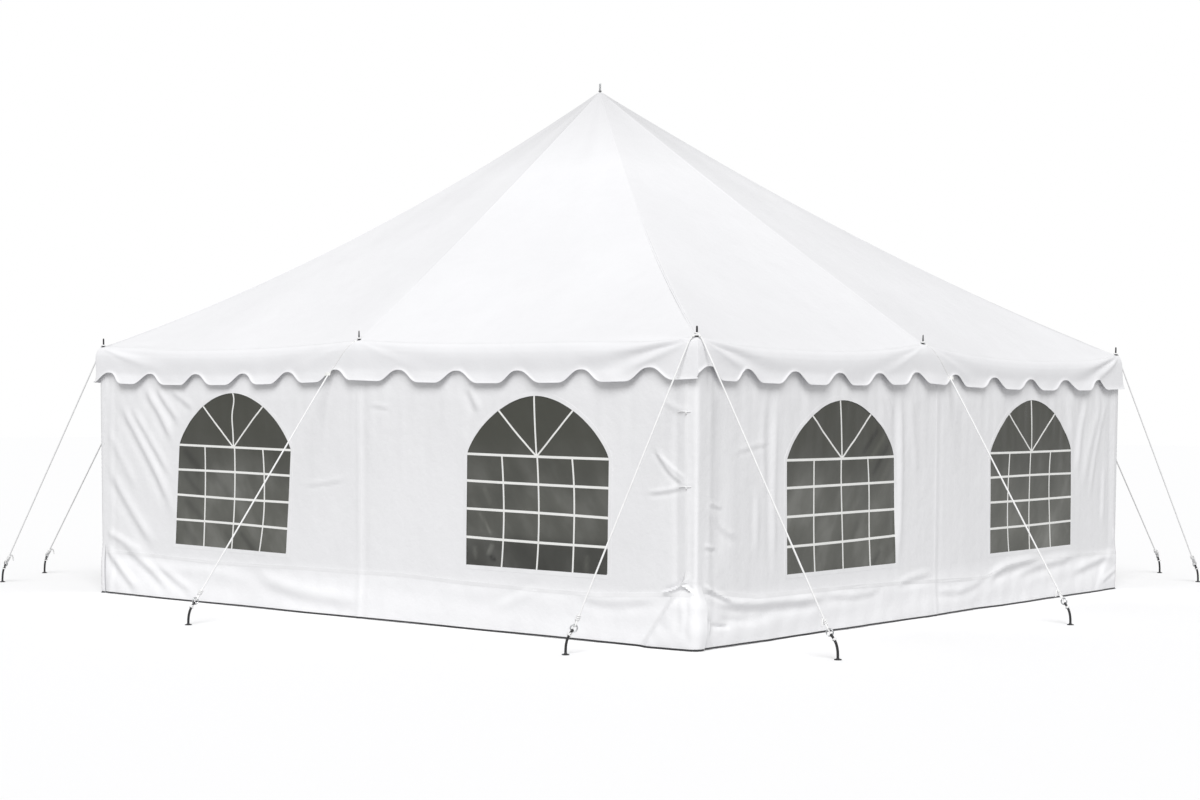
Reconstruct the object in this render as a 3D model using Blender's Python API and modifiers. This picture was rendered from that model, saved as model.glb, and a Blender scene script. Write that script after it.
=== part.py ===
# A square pole tent: a pyramid roof on one centre pole, scalloped valances, four fabric walls
# with arched windows, eight edge poles, and twelve guy ropes tied to ground stakes.
# Metres, +Z up. The origin is the foot of the centre pole, at the middle of the square.

import math

import bmesh
import bpy
from mathutils import Matrix, Vector
from mathutils.bvhtree import BVHTree

# Driving dimensions
POLE_LINE = 3.025  # from the middle to the feet of a row of poles: twenty feet over the walls
EAVE_HEIGHT = 2.030  # top of the roof at the edge pins
PEAK_HEIGHT = 4.235
PEAK_SHIFT = (-0.155, -0.127)  # the centre pole leans this far at its head
LEAN = 0.0135  # edge poles and walls lean outwards this much for each metre up
PIN_LINE = POLE_LINE + LEAN * EAVE_HEIGHT  # from the middle to each row of pins
GAP = 0.0003  # between pieces that touch

# Roof
CANOPY_THICKNESS = 0.005
EAVE_SAG = 0.075  # how far the eave dips between two pins
MIDDLE_SAG = 0.030  # of the crease from the peak to a middle pole
HIP_SAG = {"front_left": 0.17, "front_right": 0.20, "back_right": 0.12, "back_left": 0.15}
ROOF_ROWS = (0.006, 0.08, 0.2, 0.34, 0.48, 0.62, 0.76, 0.89, 1.0)  # shares of the way down
SHOULDER = ((0.020, 0.008), (0.036, 0.026), (0.045, 0.050), (0.045, 0.080))  # out and down
BAY_COLUMNS = 6
EAVE_CURL = 5  # the dip between pins fades this fast up the roof

# Valance
VALANCE_THICKNESS = 0.004
VALANCE_OVERLAP = 0.020  # behind the lip of the roof
VALANCE_FLARE = 0.013
SCALLOPS = 11  # on each side
LOBE_DROP = 0.293  # below the pins
NOTCH_DEPTH = 0.085
NOTCH_HALF_WIDTH = 0.14
VALANCE_SAG = 0.030
SCALLOP_STEPS = (-0.14, -0.09, -0.04, 0.0, 0.04, 0.09, 0.14)  # from the middle of a notch

# Walls and windows
WALL_THICKNESS = 0.006
WALL_TOP_GAP = 0.004
WALL_FOOT = 0.001  # the hem just clears the ground
ARCH_SQUARE = 1.85  # two would be half an ellipse for both
ARCH_POINT = 1.33
ARCH_STEPS = 14
PANE_THICKNESS = 0.003
PANE_OVERLAP = 0.020

# Poles
POLE_RADIUS = 0.020
CENTRE_POLE_RADIUS = 0.030
PIN_RADIUS = 0.007
PIN_HEIGHT = 0.070  # above the roof
GROMMET_RADIUS = 0.011
ROUND_STEPS = 16

# Ropes and stakes
ROPE_RADIUS = 0.005
ROPE_START = 0.0065  # above the roof at the pin
ROPE_ROUTE = ((0.017, 0.0060), (0.0245, -0.0020), (0.0425, -0.0222), (0.0515, -0.0480))
KEEPER = (0.0565, -0.253)  # out from the pins and up: where a rope leaves the valance
STAKE_ROD_RADIUS = 0.0085
STAKE_SHANK = ((0.0, 0.003), (0.0, 0.045), (0.005, 0.082), (0.017, 0.115), (0.038, 0.146))
STAKE_RING_CENTRE = (0.050, 0.163)
STAKE_RING_RADIUS = 0.021
STAKE_RING_ROD = 0.0055
STAKE_COLLAR_RADIUS = 0.024
STAKE_COLLAR_HEIGHT = 0.008

# The four sides, counter-clockwise from above. Places along a side are from its middle,
# positive towards its end corner. Each window has its middle at the sill, its middle at the
# spring of the arch and its width. Heights are of the sill and the spring, then the rise.
SIDES = (
    {"name": "front", "start": "front_left", "end": "front_right", "pole": -0.020,
     "windows": ((-1.445, -1.397, 1.305), (1.700, 1.708, 1.265)),
     "heights": (0.448, 1.217, 0.420),
     "first_notch": 0.170, "notch_shifts": {0: 0.030, 4: -0.050, 5: -0.090}},
    {"name": "right", "start": "front_right", "end": "back_right", "pole": -0.240,
     "windows": ((-1.335, -1.368, 1.385), (1.493, 1.470, 1.388)),
     "heights": (0.430, 1.208, 0.411),
     "first_notch": 0.095, "notch_shifts": {0: 0.050, 1: -0.075, 2: -0.030}},
    {"name": "back", "start": "back_right", "end": "back_left", "pole": 0.0,
     "windows": ((-1.500, -1.510, 1.340), (1.500, 1.490, 1.340)),
     "heights": (0.440, 1.212, 0.415), "first_notch": 0.170, "notch_shifts": {}},
    {"name": "left", "start": "back_left", "end": "front_left", "pole": 0.0,
     "windows": ((-1.500, -1.490, 1.340), (1.500, 1.510, 1.340)),
     "heights": (0.440, 1.212, 0.415), "first_notch": 0.170, "notch_shifts": {}},
)

# Each rope: the pin it is tied to, or the eave tab, and where its stake stands on the ground.
# A rope with a keeper lies over the valance down to that place along its side.
ROPES = (
    {"name": "front_left_1", "pin": "front_left", "stake": (-4.510, -3.020)},
    {"name": "front_left_2", "tab": ("left", 2.610), "stake": (-5.060, -2.200)},
    {"name": "front_middle", "keeper": ("front", -0.289), "stake": (-0.550, -4.180)},
    {"name": "front_right_1", "pin": "front_right", "stake": (2.550, -3.730)},
    {"name": "front_right_2", "pin": "front_right", "stake": (3.960, -2.810)},
    {"name": "right_middle", "keeper": ("right", 0.085), "stake": (4.110, 0.040)},
    {"name": "back_right_1", "pin": "back_right", "stake": (3.310, 4.230)},
    {"name": "back_right_2", "tab": ("back", -2.650), "stake": (2.620, 4.970)},
    {"name": "back_middle", "keeper": ("back", -0.170), "stake": (0.300, 4.180)},
    {"name": "back_left_1", "pin": "back_left", "stake": (-2.550, 3.780)},
    {"name": "back_left_2", "pin": "back_left", "stake": (-3.960, 2.750)},
    {"name": "left_middle", "keeper": ("left", -0.120), "stake": (-4.150, 0.200)},
)

LIP_OUTER = PIN_LINE + SHOULDER[-1][0]
WALL_INNER = POLE_LINE + POLE_RADIUS + GAP
WALL_OUTER = WALL_INNER + WALL_THICKNESS

COLOURS = {
    "canopy": ((0.86, 0.87, 0.89), 0.45, 0.0),
    "wall": ((0.80, 0.81, 0.83), 0.50, 0.0),
    "pane": ((0.10, 0.11, 0.11), 0.15, 0.0),
    "pole": ((0.60, 0.61, 0.62), 0.35, 1.0),
    "rope": ((0.85, 0.85, 0.83), 0.80, 0.0),
    "stake": ((0.02, 0.02, 0.02), 0.45, 1.0),
}


def clear_scene():
    for obj in list(bpy.data.objects):
        bpy.data.objects.remove(obj, do_unlink=True)


def new_collection(name):
    collection = bpy.data.collections.new(name)
    bpy.context.scene.collection.children.link(collection)
    return collection


def make_material(name):
    colour, roughness, metallic = COLOURS[name]
    material = bpy.data.materials.new(name)
    material.use_nodes = True
    shader = material.node_tree.nodes["Principled BSDF"]
    shader.inputs["Base Color"].default_value = (*colour, 1.0)
    shader.inputs["Roughness"].default_value = roughness
    shader.inputs["Metallic"].default_value = metallic
    material.diffuse_color = (*colour, 1.0)
    return material


def add_object(name, data, material, collection):
    obj = bpy.data.objects.new(name, data)
    collection.objects.link(obj)
    data.materials.clear()
    data.materials.append(material)
    return obj


def evaluated_mesh(obj):
    """The object's mesh with its modifiers, or its curve as a mesh with its caps welded."""
    graph = bpy.context.evaluated_depsgraph_get()
    mesh = bpy.data.meshes.new_from_object(obj.evaluated_get(graph))
    work = bmesh.new()
    work.from_mesh(mesh)
    bmesh.ops.remove_doubles(work, verts=work.verts, dist=0.00001)
    work.to_mesh(mesh)
    work.free()
    return mesh


def side_turn(index):
    """Turns a side's own frame, where it faces -Y, to its place."""
    return Matrix.Rotation(index * math.pi / 2, 4, "Z")


def side_called(name):
    """A side and the turn to its place, by its name."""
    index = [side["name"] for side in SIDES].index(name)
    return SIDES[index], side_turn(index)


def peak_point():
    return Vector((PEAK_SHIFT[0], PEAK_SHIFT[1], PEAK_HEIGHT))


def bay_columns(side):
    """Places across a side, -1 to 1, each with its share of the way between two poles."""
    middle = side["pole"] / PIN_LINE
    columns = []
    for start, end in ((-1.0, middle), (middle, 1.0)):
        for step in range(BAY_COLUMNS):
            share = step / BAY_COLUMNS
            columns.append((start + (end - start) * share, share))
    columns.append((1.0, 0.0))
    return columns


def bay_dip(share):
    return 4 * share * (1 - share)


def line_sag(side, place, share):
    """How far the roof hangs below a straight line from the peak to this place on the eave."""
    middle = side["pole"] / PIN_LINE
    if place < middle:
        return HIP_SAG[side["start"]] * (1 - share) + MIDDLE_SAG * share
    return MIDDLE_SAG * (1 - share) + HIP_SAG[side["end"]] * share


def roof_column(index, side, place, share):
    """The points down one column of the roof, from the peak to the foot of the lip."""
    turn = side_turn(index)
    edge = turn @ Vector((place * PIN_LINE, -PIN_LINE, EAVE_HEIGHT))
    if place == 1.0:
        sag = HIP_SAG[side["end"]]
    else:
        sag = line_sag(side, place, share)
    peak = peak_point()
    points = []
    for row in ROOF_ROWS:
        point = peak.lerp(edge, row)
        point.z -= 4 * row * (1 - row) * sag
        point.z -= EAVE_SAG * bay_dip(share) * row ** EAVE_CURL
        points.append(point)
    for out, down in SHOULDER:
        reach = PIN_LINE + out
        height = EAVE_HEIGHT - EAVE_SAG * bay_dip(share) - down
        points.append(turn @ Vector((place * reach, -reach, height)))
    return points


def skin_columns(columns):
    """A mesh sheet over columns of points, its faces turned outwards."""
    work = bmesh.new()
    rows = [[work.verts.new(point) for point in column] for column in columns]
    for left, right in zip(rows, rows[1:]):
        for top in range(len(left) - 1):
            work.faces.new((left[top], left[top + 1], right[top + 1], right[top]))
    bmesh.ops.remove_doubles(work, verts=work.verts, dist=0.0001)
    mesh = bpy.data.meshes.new("sheet")
    work.to_mesh(mesh)
    work.free()
    return mesh


def add_thickness(obj, thickness):
    solidify = obj.modifiers.new("thickness", "SOLIDIFY")
    solidify.thickness = thickness
    solidify.offset = -1.0
    solidify.use_even_offset = True


def edge_places(reach):
    """Where the edge poles cross this reach from the middle, by name."""
    places = {}
    for index, side in enumerate(SIDES):
        turn = side_turn(index)
        places[side["start"]] = turn @ Vector((-reach, -reach, 0))
        places[side["name"] + "_middle"] = turn @ Vector((side["pole"], -reach, 0))
    return places


def make_canopy(parts, cutters, material):
    columns = []
    for index, side in enumerate(SIDES):
        for place, share in bay_columns(side):
            columns.append(roof_column(index, side, place, share))
    canopy = add_object("canopy", skin_columns(columns), material, parts)
    add_thickness(canopy, CANOPY_THICKNESS)
    for name, place in edge_places(PIN_LINE).items():
        cutter = make_cutter(name + "_grommet", place, cutters)
        hole = canopy.modifiers.new("grommet", "BOOLEAN")
        hole.operation = "DIFFERENCE"
        hole.solver = "EXACT"
        hole.object = cutter
    return canopy


def make_cutter(name, place, cutters):
    work = bmesh.new()
    bmesh.ops.create_cone(work, cap_ends=True, segments=12, radius1=GROMMET_RADIUS,
                          radius2=GROMMET_RADIUS, depth=0.4)
    mesh = bpy.data.meshes.new(name)
    work.to_mesh(mesh)
    work.free()
    cutter = bpy.data.objects.new(name, mesh)
    cutter.location = (place.x, place.y, EAVE_HEIGHT)
    cutter.hide_render = True
    cutter.display_type = "WIRE"
    cutters.objects.link(cutter)
    return cutter


def underside_finder(canopy):
    """A function that gives the height of the roof's underside over a place."""
    work = bmesh.new()
    work.from_mesh(evaluated_mesh(canopy))
    tree = BVHTree.FromBMesh(work)
    work.free()

    def height(x, y):
        hit = tree.ray_cast(Vector((x, y, 1.0)), Vector((0, 0, 1)))
        return hit[0].z if hit[0] else PEAK_HEIGHT

    return height


def lowest_over_disc(underside, centre, radius):
    lowest = PEAK_HEIGHT
    for step in range(48):
        angle = step * math.pi / 24
        x = centre.x + radius * math.cos(angle)
        y = centre.y + radius * math.sin(angle)
        lowest = min(lowest, underside(x, y))
    return lowest


def turned(name, profile, material, parts):
    """A round piece from its outer profile, given from the top down as radius and height."""
    mesh = bpy.data.meshes.new(name)
    points = [(radius, 0, height) for radius, height in profile]
    mesh.from_pydata(points, [(i, i + 1) for i in range(len(points) - 1)], [])
    obj = add_object(name, mesh, material, parts)
    screw = obj.modifiers.new("turn", "SCREW")
    screw.steps = ROUND_STEPS
    screw.render_steps = ROUND_STEPS
    screw.use_merge_vertices = True
    screw.merge_threshold = 0.0001
    return obj


def leaning_pole(name, radius, head, tip, foot, top, material, parts):
    """A pole with its pin: its head leans from over its foot to over the place of its top."""
    taper = 0.010
    profile = ((0, tip), (PIN_RADIUS * 0.4, tip), (PIN_RADIUS, tip - taper),
               (PIN_RADIUS, head), (radius, head), (radius, 0), (0, 0))
    upright = turned("upright", profile, material, parts)
    mesh = evaluated_mesh(upright)
    bpy.data.objects.remove(upright)
    for vertex in mesh.vertices:
        share = min(vertex.co.z / head, 1.0)
        vertex.co.x += foot.x + (top.x - foot.x) * share
        vertex.co.y += foot.y + (top.y - foot.y) * share
    add_object(name, mesh, material, parts)


def make_poles(parts, underside, material):
    feet = edge_places(POLE_LINE)
    for name, top in edge_places(PIN_LINE).items():
        head = lowest_over_disc(underside, top, POLE_RADIUS) - GAP
        leaning_pole(name + "_pole", POLE_RADIUS, head, EAVE_HEIGHT + PIN_HEIGHT, feet[name],
                     top, material, parts)
    peak = peak_point()
    head = lowest_over_disc(underside, peak, CENTRE_POLE_RADIUS) - GAP
    leaning_pole("centre_pole", CENTRE_POLE_RADIUS, head, PEAK_HEIGHT + PIN_HEIGHT,
                 Vector((0, 0, 0)), peak, material, parts)


def notch_places(side, length):
    """Where the notches between scallops stand, from the start of the side."""
    pitch = length / SCALLOPS
    half = length / 2
    to_pole = half + side["pole"]
    places = []
    for number in range(SCALLOPS):
        along = side["first_notch"] + pitch * number
        if along < half:
            along = along * to_pole / half
        else:
            along = to_pole + (along - half) * (length - to_pole) / half
        places.append(along + side["notch_shifts"].get(number, 0.0))
    return places


def notch_rise(along, notches):
    """How far the valance's edge rises at a place, measured from the start of its side."""
    away = min(abs(along - notch) for notch in notches)
    if away > NOTCH_HALF_WIDTH:
        return 0.0
    return NOTCH_DEPTH * (0.5 + 0.5 * math.cos(math.pi * away / NOTCH_HALF_WIDTH))


def bay_share(side, along):
    """The share of the way between two poles, for a place from the start of the side."""
    to_pole = PIN_LINE + side["pole"]
    if along < to_pole:
        return along / to_pole
    return min((along - to_pole) / (2 * PIN_LINE - to_pole), 1.0)


def lip_foot(side, along):
    """Height of the lip's lower edge, straight from one column of the roof to the next."""
    share = max(bay_share(side, along), 0.0) * BAY_COLUMNS
    low = min(int(share), BAY_COLUMNS - 1)
    here = bay_dip(low / BAY_COLUMNS)
    there = bay_dip((low + 1) / BAY_COLUMNS)
    dip = here + (there - here) * (share - low)
    return EAVE_HEIGHT - SHOULDER[-1][1] - EAVE_SAG * dip


def valance_stations(notches, length):
    """Places across a valance: its ends, the steps of each notch and the middles of lobes."""
    stations = {0.0, length}
    for notch in notches:
        stations.update(notch + step for step in SCALLOP_STEPS)
    for notch, following in zip(notches, notches[1:]):
        stations.add((notch + following) / 2)
    return sorted(along for along in stations if 0.0 <= along <= length)


def make_valances(parts, material):
    reach = LIP_OUTER - CANOPY_THICKNESS - GAP
    length = 2 * reach
    for index, side in enumerate(SIDES):
        turn = side_turn(index)
        notches = notch_places(side, length)
        columns = []
        for along in valance_stations(notches, length):
            lip = lip_foot(side, along * PIN_LINE / reach)
            dip = bay_dip(bay_share(side, along * PIN_LINE / reach))
            lobe_foot = EAVE_HEIGHT - LOBE_DROP - VALANCE_SAG * dip
            foot = lobe_foot + notch_rise(along, notches)
            bend = lip - 0.003
            flare = VALANCE_FLARE * (bend - foot) / (bend - lobe_foot)
            rows = ((0.0, lip + VALANCE_OVERLAP), (0.0, bend), (flare, foot))
            column = []
            for flare, height in rows:
                row_reach = reach + flare
                start = -(row_reach - VALANCE_THICKNESS - GAP)
                x = start + (row_reach - start) * along / length
                column.append(turn @ Vector((x, -row_reach, height)))
            columns.append(column)
        valance = add_object(side["name"] + "_valance", skin_columns(columns), material, parts)
        add_thickness(valance, VALANCE_THICKNESS)


def window_outline(window, heights, grow):
    """An arched window's edge as points across and up."""
    sill_middle, spring_middle, width = window
    sill, spring, rise = heights
    half = width / 2 + grow
    points = [(sill_middle - half, sill - grow), (sill_middle + half, sill - grow)]
    for step in range(ARCH_STEPS + 1):
        across = math.cos(math.pi * step / ARCH_STEPS)
        up = (1 - abs(across) ** ARCH_SQUARE) ** (1 / ARCH_POINT)
        points.append((spring_middle + half * across, spring + (rise + grow) * up))
    return points


def wall_outline(index, side, underside):
    """A wall's edge: along the ground, its top just under the sagging eave."""
    turn = side_turn(index)
    lean = PIN_LINE - POLE_LINE
    start = -(WALL_INNER + lean - GAP)
    end = WALL_OUTER + lean
    places = {start, end}
    columns = [place for place, share in bay_columns(side)]
    for here, there in zip(columns, columns[1:]):
        places.add(min(max(here * end, start), end))
        places.add((here + there) / 2 * end)
    top = []
    for place in sorted(places):
        heights = []
        for reach in (WALL_INNER + lean, WALL_OUTER + lean):
            point = turn @ Vector((place, -reach, 0))
            heights.append(underside(point.x, point.y))
        height = min(heights) - WALL_TOP_GAP
        if place in (start, end):
            place = math.copysign(abs(place) - lean + LEAN * height, place)
        top.append((place, height))
    foot = [(GAP - WALL_INNER - LEAN * WALL_FOOT, WALL_FOOT),
            (WALL_OUTER + LEAN * WALL_FOOT, WALL_FOOT)]
    return foot + list(reversed(top))


def leaning_sheet(name, outlines, thickness, index, reach, material, parts):
    """A flat sheet with holes, leaning out on a side, its middle at this reach on the ground."""
    curve = bpy.data.curves.new(name, "CURVE")
    curve.dimensions = "2D"
    curve.fill_mode = "BOTH"
    curve.extrude = thickness / 2
    for outline in outlines:
        spline = curve.splines.new("POLY")
        spline.points.add(len(outline) - 1)
        for point, (across, up) in zip(spline.points, outline):
            point.co = (across, up, 0, 1)
        spline.use_cyclic_u = True
    sheet = add_object(name, curve, material, parts)
    stand = Matrix.Rotation(math.pi / 2 + math.atan(LEAN), 4, "X")
    sheet.matrix_world = side_turn(index) @ Matrix.Translation((0, -reach, 0)) @ stand
    return sheet


def make_walls(parts, underside, wall_material, pane_material):
    middle = (WALL_INNER + WALL_OUTER) / 2
    behind = WALL_INNER - GAP - PANE_THICKNESS / 2
    for index, side in enumerate(SIDES):
        name = side["name"]
        outlines = [wall_outline(index, side, underside)]
        for window in side["windows"]:
            outlines.append(window_outline(window, side["heights"], 0.0))
        leaning_sheet(name + "_wall", outlines, WALL_THICKNESS, index, middle, wall_material,
                      parts)
        for number, window in enumerate(side["windows"], 1):
            outline = window_outline(window, side["heights"], PANE_OVERLAP)
            leaning_sheet(f"{name}_window_{number}", [outline], PANE_THICKNESS, index, behind,
                          pane_material, parts)


def tube(name, points, radius, material, parts):
    curve = bpy.data.curves.new(name, "CURVE")
    curve.dimensions = "3D"
    curve.bevel_depth = radius
    curve.bevel_resolution = 2
    curve.use_fill_caps = True
    spline = curve.splines.new("POLY")
    spline.points.add(len(points) - 1)
    for point, place in zip(spline.points, points):
        point.co = (*place, 1)
    return add_object(name, curve, material, parts)


def join_solid(base, other):
    union = base.modifiers.new("join", "BOOLEAN")
    union.operation = "UNION"
    union.solver = "EXACT"
    union.object = other


def make_stake_mesh(cutters, material):
    """One stake: a collar on the ground, a shank bent towards the tent, and a ring."""
    points = [(x, 0, z) for x, z in STAKE_SHANK]
    wire = tube("shank_wire", points, STAKE_ROD_RADIUS, material, cutters)
    shank = bpy.data.objects.new("shank", evaluated_mesh(wire))
    bpy.data.objects.remove(wire)
    cutters.objects.link(shank)
    work = bmesh.new()
    bmesh.ops.create_cone(work, cap_ends=True, segments=ROUND_STEPS,
                          radius1=STAKE_COLLAR_RADIUS, radius2=STAKE_COLLAR_RADIUS * 0.8,
                          depth=STAKE_COLLAR_HEIGHT)
    bmesh.ops.translate(work, verts=work.verts, vec=(0, 0, STAKE_COLLAR_HEIGHT / 2))
    collar_mesh = bpy.data.meshes.new("collar")
    work.to_mesh(collar_mesh)
    work.free()
    collar = bpy.data.objects.new("collar", collar_mesh)
    cutters.objects.link(collar)
    bpy.ops.mesh.primitive_torus_add(
        major_radius=STAKE_RING_RADIUS, minor_radius=STAKE_RING_ROD, major_segments=16,
        minor_segments=6, location=(STAKE_RING_CENTRE[0], 0, STAKE_RING_CENTRE[1]),
        rotation=(math.pi / 2, 0, 0))
    ring = bpy.context.active_object
    join_solid(shank, collar)
    join_solid(shank, ring)
    bpy.context.view_layer.update()
    mesh = evaluated_mesh(shank)
    for helper in (shank, collar, ring):
        bpy.data.objects.remove(helper)
    return mesh


def tab_point(rope):
    """The place on the lip where a rope's tab is sewn, with the lip's outward direction."""
    side_name, along = rope["tab"]
    side, turn = side_called(side_name)
    height = lip_foot(side, PIN_LINE + along) + 0.018
    return turn @ Vector((along, -LIP_OUTER, height)), turn @ Vector((0, -1, 0))


def rope_hold(rope):
    """The place the rope's stake faces: its tab, its keeper or its pin."""
    if "tab" in rope:
        return tab_point(rope)[0]
    if "keeper" in rope:
        side_name, along = rope["keeper"]
        side, turn = side_called(side_name)
        return turn @ Vector((along, -PIN_LINE - KEEPER[0], EAVE_HEIGHT + KEEPER[1]))
    return edge_places(PIN_LINE)[rope["pin"]]


def over_valance(rope):
    """The points of a rope that lies over the eave and the valance down to its keeper."""
    side_name, along = rope["keeper"]
    side, turn = side_called(side_name)
    route = ((PIN_RADIUS + GAP, ROPE_START),) + ROPE_ROUTE + (KEEPER,)
    points = []
    for out, up in route:
        share = min(max((ROPE_START - up) / (ROPE_START - KEEPER[1]), 0.0), 1.0)
        across = side["pole"] + (along - side["pole"]) * share
        points.append(turn @ Vector((across, -PIN_LINE - out, EAVE_HEIGHT + up)))
    return points


def rope_points(rope, ring):
    """A rope's route: from its pin over the eave, or from its tab, straight to the ring."""
    if "tab" in rope:
        place, outward = tab_point(rope)
        direction = (ring - place).normalized()
        lean = math.sqrt(1 - direction.dot(outward) ** 2)
        points = [place + outward * (ROPE_RADIUS * lean + GAP)]
    elif "keeper" in rope:
        points = over_valance(rope)
    else:
        pin = rope_hold(rope)
        heading = Vector((ring.x - pin.x, ring.y - pin.y, 0)).normalized()
        reach = max(abs(heading.x), abs(heading.y))
        start = EAVE_HEIGHT + ROPE_START
        points = [pin + heading * (PIN_RADIUS + GAP) + Vector((0, 0, start))]
        for out, up in ROPE_ROUTE:
            points.append(pin + heading * out / reach + Vector((0, 0, EAVE_HEIGHT + up)))
    last = points[-1]
    rim = STAKE_RING_RADIUS + STAKE_RING_ROD + GAP
    points.append(ring + (last - ring).normalized() * rim)
    return points


def make_ropes(parts, cutters, rope_material, stake_material):
    stake_mesh = make_stake_mesh(cutters, stake_material)
    for rope in ROPES:
        foot = Vector((*rope["stake"], 0))
        hold = rope_hold(rope)
        angle = math.atan2(hold.y - foot.y, hold.x - foot.x)
        stake = add_object("stake_" + rope["name"], stake_mesh.copy(), stake_material, parts)
        stake.location = foot
        stake.rotation_euler.z = angle
        out, up = STAKE_RING_CENTRE
        ring = foot + Vector((out * math.cos(angle), out * math.sin(angle), up))
        tube("guy_rope_" + rope["name"], rope_points(rope, ring), ROPE_RADIUS,
             rope_material, parts)


def main():
    clear_scene()
    parts = new_collection("marquee_tent")
    cutters = new_collection("cutters")
    materials = {name: make_material(name) for name in COLOURS}
    canopy = make_canopy(parts, cutters, materials["canopy"])
    bpy.context.view_layer.update()
    underside = underside_finder(canopy)
    make_poles(parts, underside, materials["pole"])
    make_valances(parts, materials["canopy"])
    make_walls(parts, underside, materials["wall"], materials["pane"])
    make_ropes(parts, cutters, materials["rope"], materials["stake"])


main()
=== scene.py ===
# A square pole tent of white coated fabric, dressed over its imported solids.
# Metres, +Z up, the middle of the square at the origin.
import math

import bmesh
import bpy
import numpy as np
from mathutils import Matrix, Vector
from mathutils.geometry import delaunay_2d_cdt


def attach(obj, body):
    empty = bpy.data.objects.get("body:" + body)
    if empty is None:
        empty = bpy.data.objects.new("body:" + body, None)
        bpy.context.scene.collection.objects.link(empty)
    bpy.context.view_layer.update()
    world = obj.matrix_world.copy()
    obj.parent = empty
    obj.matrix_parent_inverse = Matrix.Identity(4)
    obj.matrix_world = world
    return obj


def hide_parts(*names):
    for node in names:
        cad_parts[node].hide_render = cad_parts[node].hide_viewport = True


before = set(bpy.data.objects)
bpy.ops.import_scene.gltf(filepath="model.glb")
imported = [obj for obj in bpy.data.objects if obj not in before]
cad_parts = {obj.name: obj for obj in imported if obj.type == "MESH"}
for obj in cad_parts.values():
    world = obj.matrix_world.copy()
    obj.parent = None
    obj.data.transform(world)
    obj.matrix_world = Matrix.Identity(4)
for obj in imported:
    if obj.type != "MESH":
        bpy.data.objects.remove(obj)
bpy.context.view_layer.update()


def placed(name, data):  # a new object in the scene
    thing = bpy.data.objects.new(name, data)
    bpy.context.scene.collection.objects.link(thing)
    return thing


def primitive(operator, **settings):  # a fresh primitive, its transform applied
    bpy.ops.object.select_all(action="DESELECT")
    operator(**settings)
    bpy.ops.object.transform_apply(location=True, rotation=True, scale=True)
    return bpy.context.active_object


def feed(node, inputs):  # each value is set, or linked where it is another node's output
    for key, value in inputs.items():
        if isinstance(value, bpy.types.NodeSocket):
            node.id_data.links.new(value, node.inputs[key])
        else:
            node.inputs[key].default_value = value


def add(tree, kind, inputs, output=0, **settings):  # a new node, of which one output is handed on
    node = tree.nodes.new("ShaderNode" + kind)
    for key, value in settings.items():
        setattr(node, key, value)
    feed(node, inputs)
    return node.outputs[output]


def newMaterial(name, colour, roughness, specular=0.5, metallic=0.0):
    material = bpy.data.materials.new(name)
    material.use_nodes = True
    tree = material.node_tree
    shader = tree.nodes["Principled BSDF"]
    feed(shader, {"Base Color": (*colour, 1), "Roughness": roughness, "Metallic": metallic,
                  "Specular IOR Level": specular})
    return material, tree, shader, add(tree, "TexCoord", {}, "Object")


view = {"place": (10.60834, -13.23089, 1.51681), "yaw": -39.355, "pitch": 0.3318, "roll": 0.296,
        "focalPixels": 1998.89, "imageWidth": 1200, "sensor": 36, "farthest": 200}


def makeCamera():
    yaw, pitch, roll = (math.radians(view[key]) for key in ("yaw", "pitch", "roll"))
    forward = Vector((math.cos(pitch) * math.sin(yaw), math.cos(pitch) * math.cos(yaw), math.sin(pitch)))
    right = Vector((math.cos(yaw), -math.sin(yaw), 0))
    up = right.cross(forward)
    across = right * math.cos(roll) + up * math.sin(roll)
    upright = up * math.cos(roll) - right * math.sin(roll)
    data = bpy.data.cameras.new("camera")
    data.sensor_width = view["sensor"]
    data.lens = view["focalPixels"] * view["sensor"] / view["imageWidth"]
    data.clip_end = view["farthest"]
    turn = Matrix((across, upright, -forward)).transposed().to_4x4()
    turn.translation = Vector(view["place"])
    bpy.context.scene.camera = placed("camera", data)
    bpy.context.scene.camera.matrix_world = turn


studio = {"floorSize": 160.0, "floorColour": (0.95, 0.95, 0.955), "floorBounce": (0.60, 0.60, 0.605),
          "ambient": 0.50, "sunStrength": 2.49, "sunHeight": 43.0, "sunAzimuth": 39.5, "sunSoftness": 34.0}


def makeStudio():
    floor = primitive(bpy.ops.mesh.primitive_plane_add, size=studio["floorSize"])
    floor.name = "floor"
    paint, tree, shader, _ = newMaterial("floorPaint", studio["floorColour"], 1.0, 0.0)
    # seen pale, but it lights the cloth like a greyer floor
    feed(shader, {"Base Color": add(tree, "MixRGB", {"Fac": add(tree, "LightPath", {}, "Is Camera Ray"),
                                                     "Color1": (*studio["floorBounce"], 1),
                                                     "Color2": (*studio["floorColour"], 1)})})
    floor.data.materials.append(paint)
    world = bpy.data.worlds.new("softRoom")
    bpy.context.scene.world = world
    world.use_nodes = True
    tree = world.node_tree
    light = tree.nodes["Background"]
    feed(light, {"Color": (1, 1, 1, 1), "Strength": studio["ambient"]})
    mix = add(tree, "MixShader", {"Fac": add(tree, "LightPath", {}, "Is Camera Ray"), 1: light.outputs[0],
                                  2: add(tree, "Background", {"Color": (1, 1, 1, 1)})})
    feed(tree.nodes["World Output"], {"Surface": mix})
    data = bpy.data.lights.new("key", "SUN")
    data.energy = studio["sunStrength"]
    data.angle = math.radians(studio["sunSoftness"])
    height, azimuth = math.radians(studio["sunHeight"]), math.radians(studio["sunAzimuth"])
    towards = Vector((math.cos(height) * math.sin(azimuth), -math.cos(height) * math.cos(azimuth), math.sin(height)))
    placed("key", data).rotation_euler = towards.to_track_quat("Z", "Y").to_euler()
    bpy.context.scene.view_settings.view_transform = "Standard"


makeCamera()
makeStudio()
print("camera, floor and light are in place")

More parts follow.
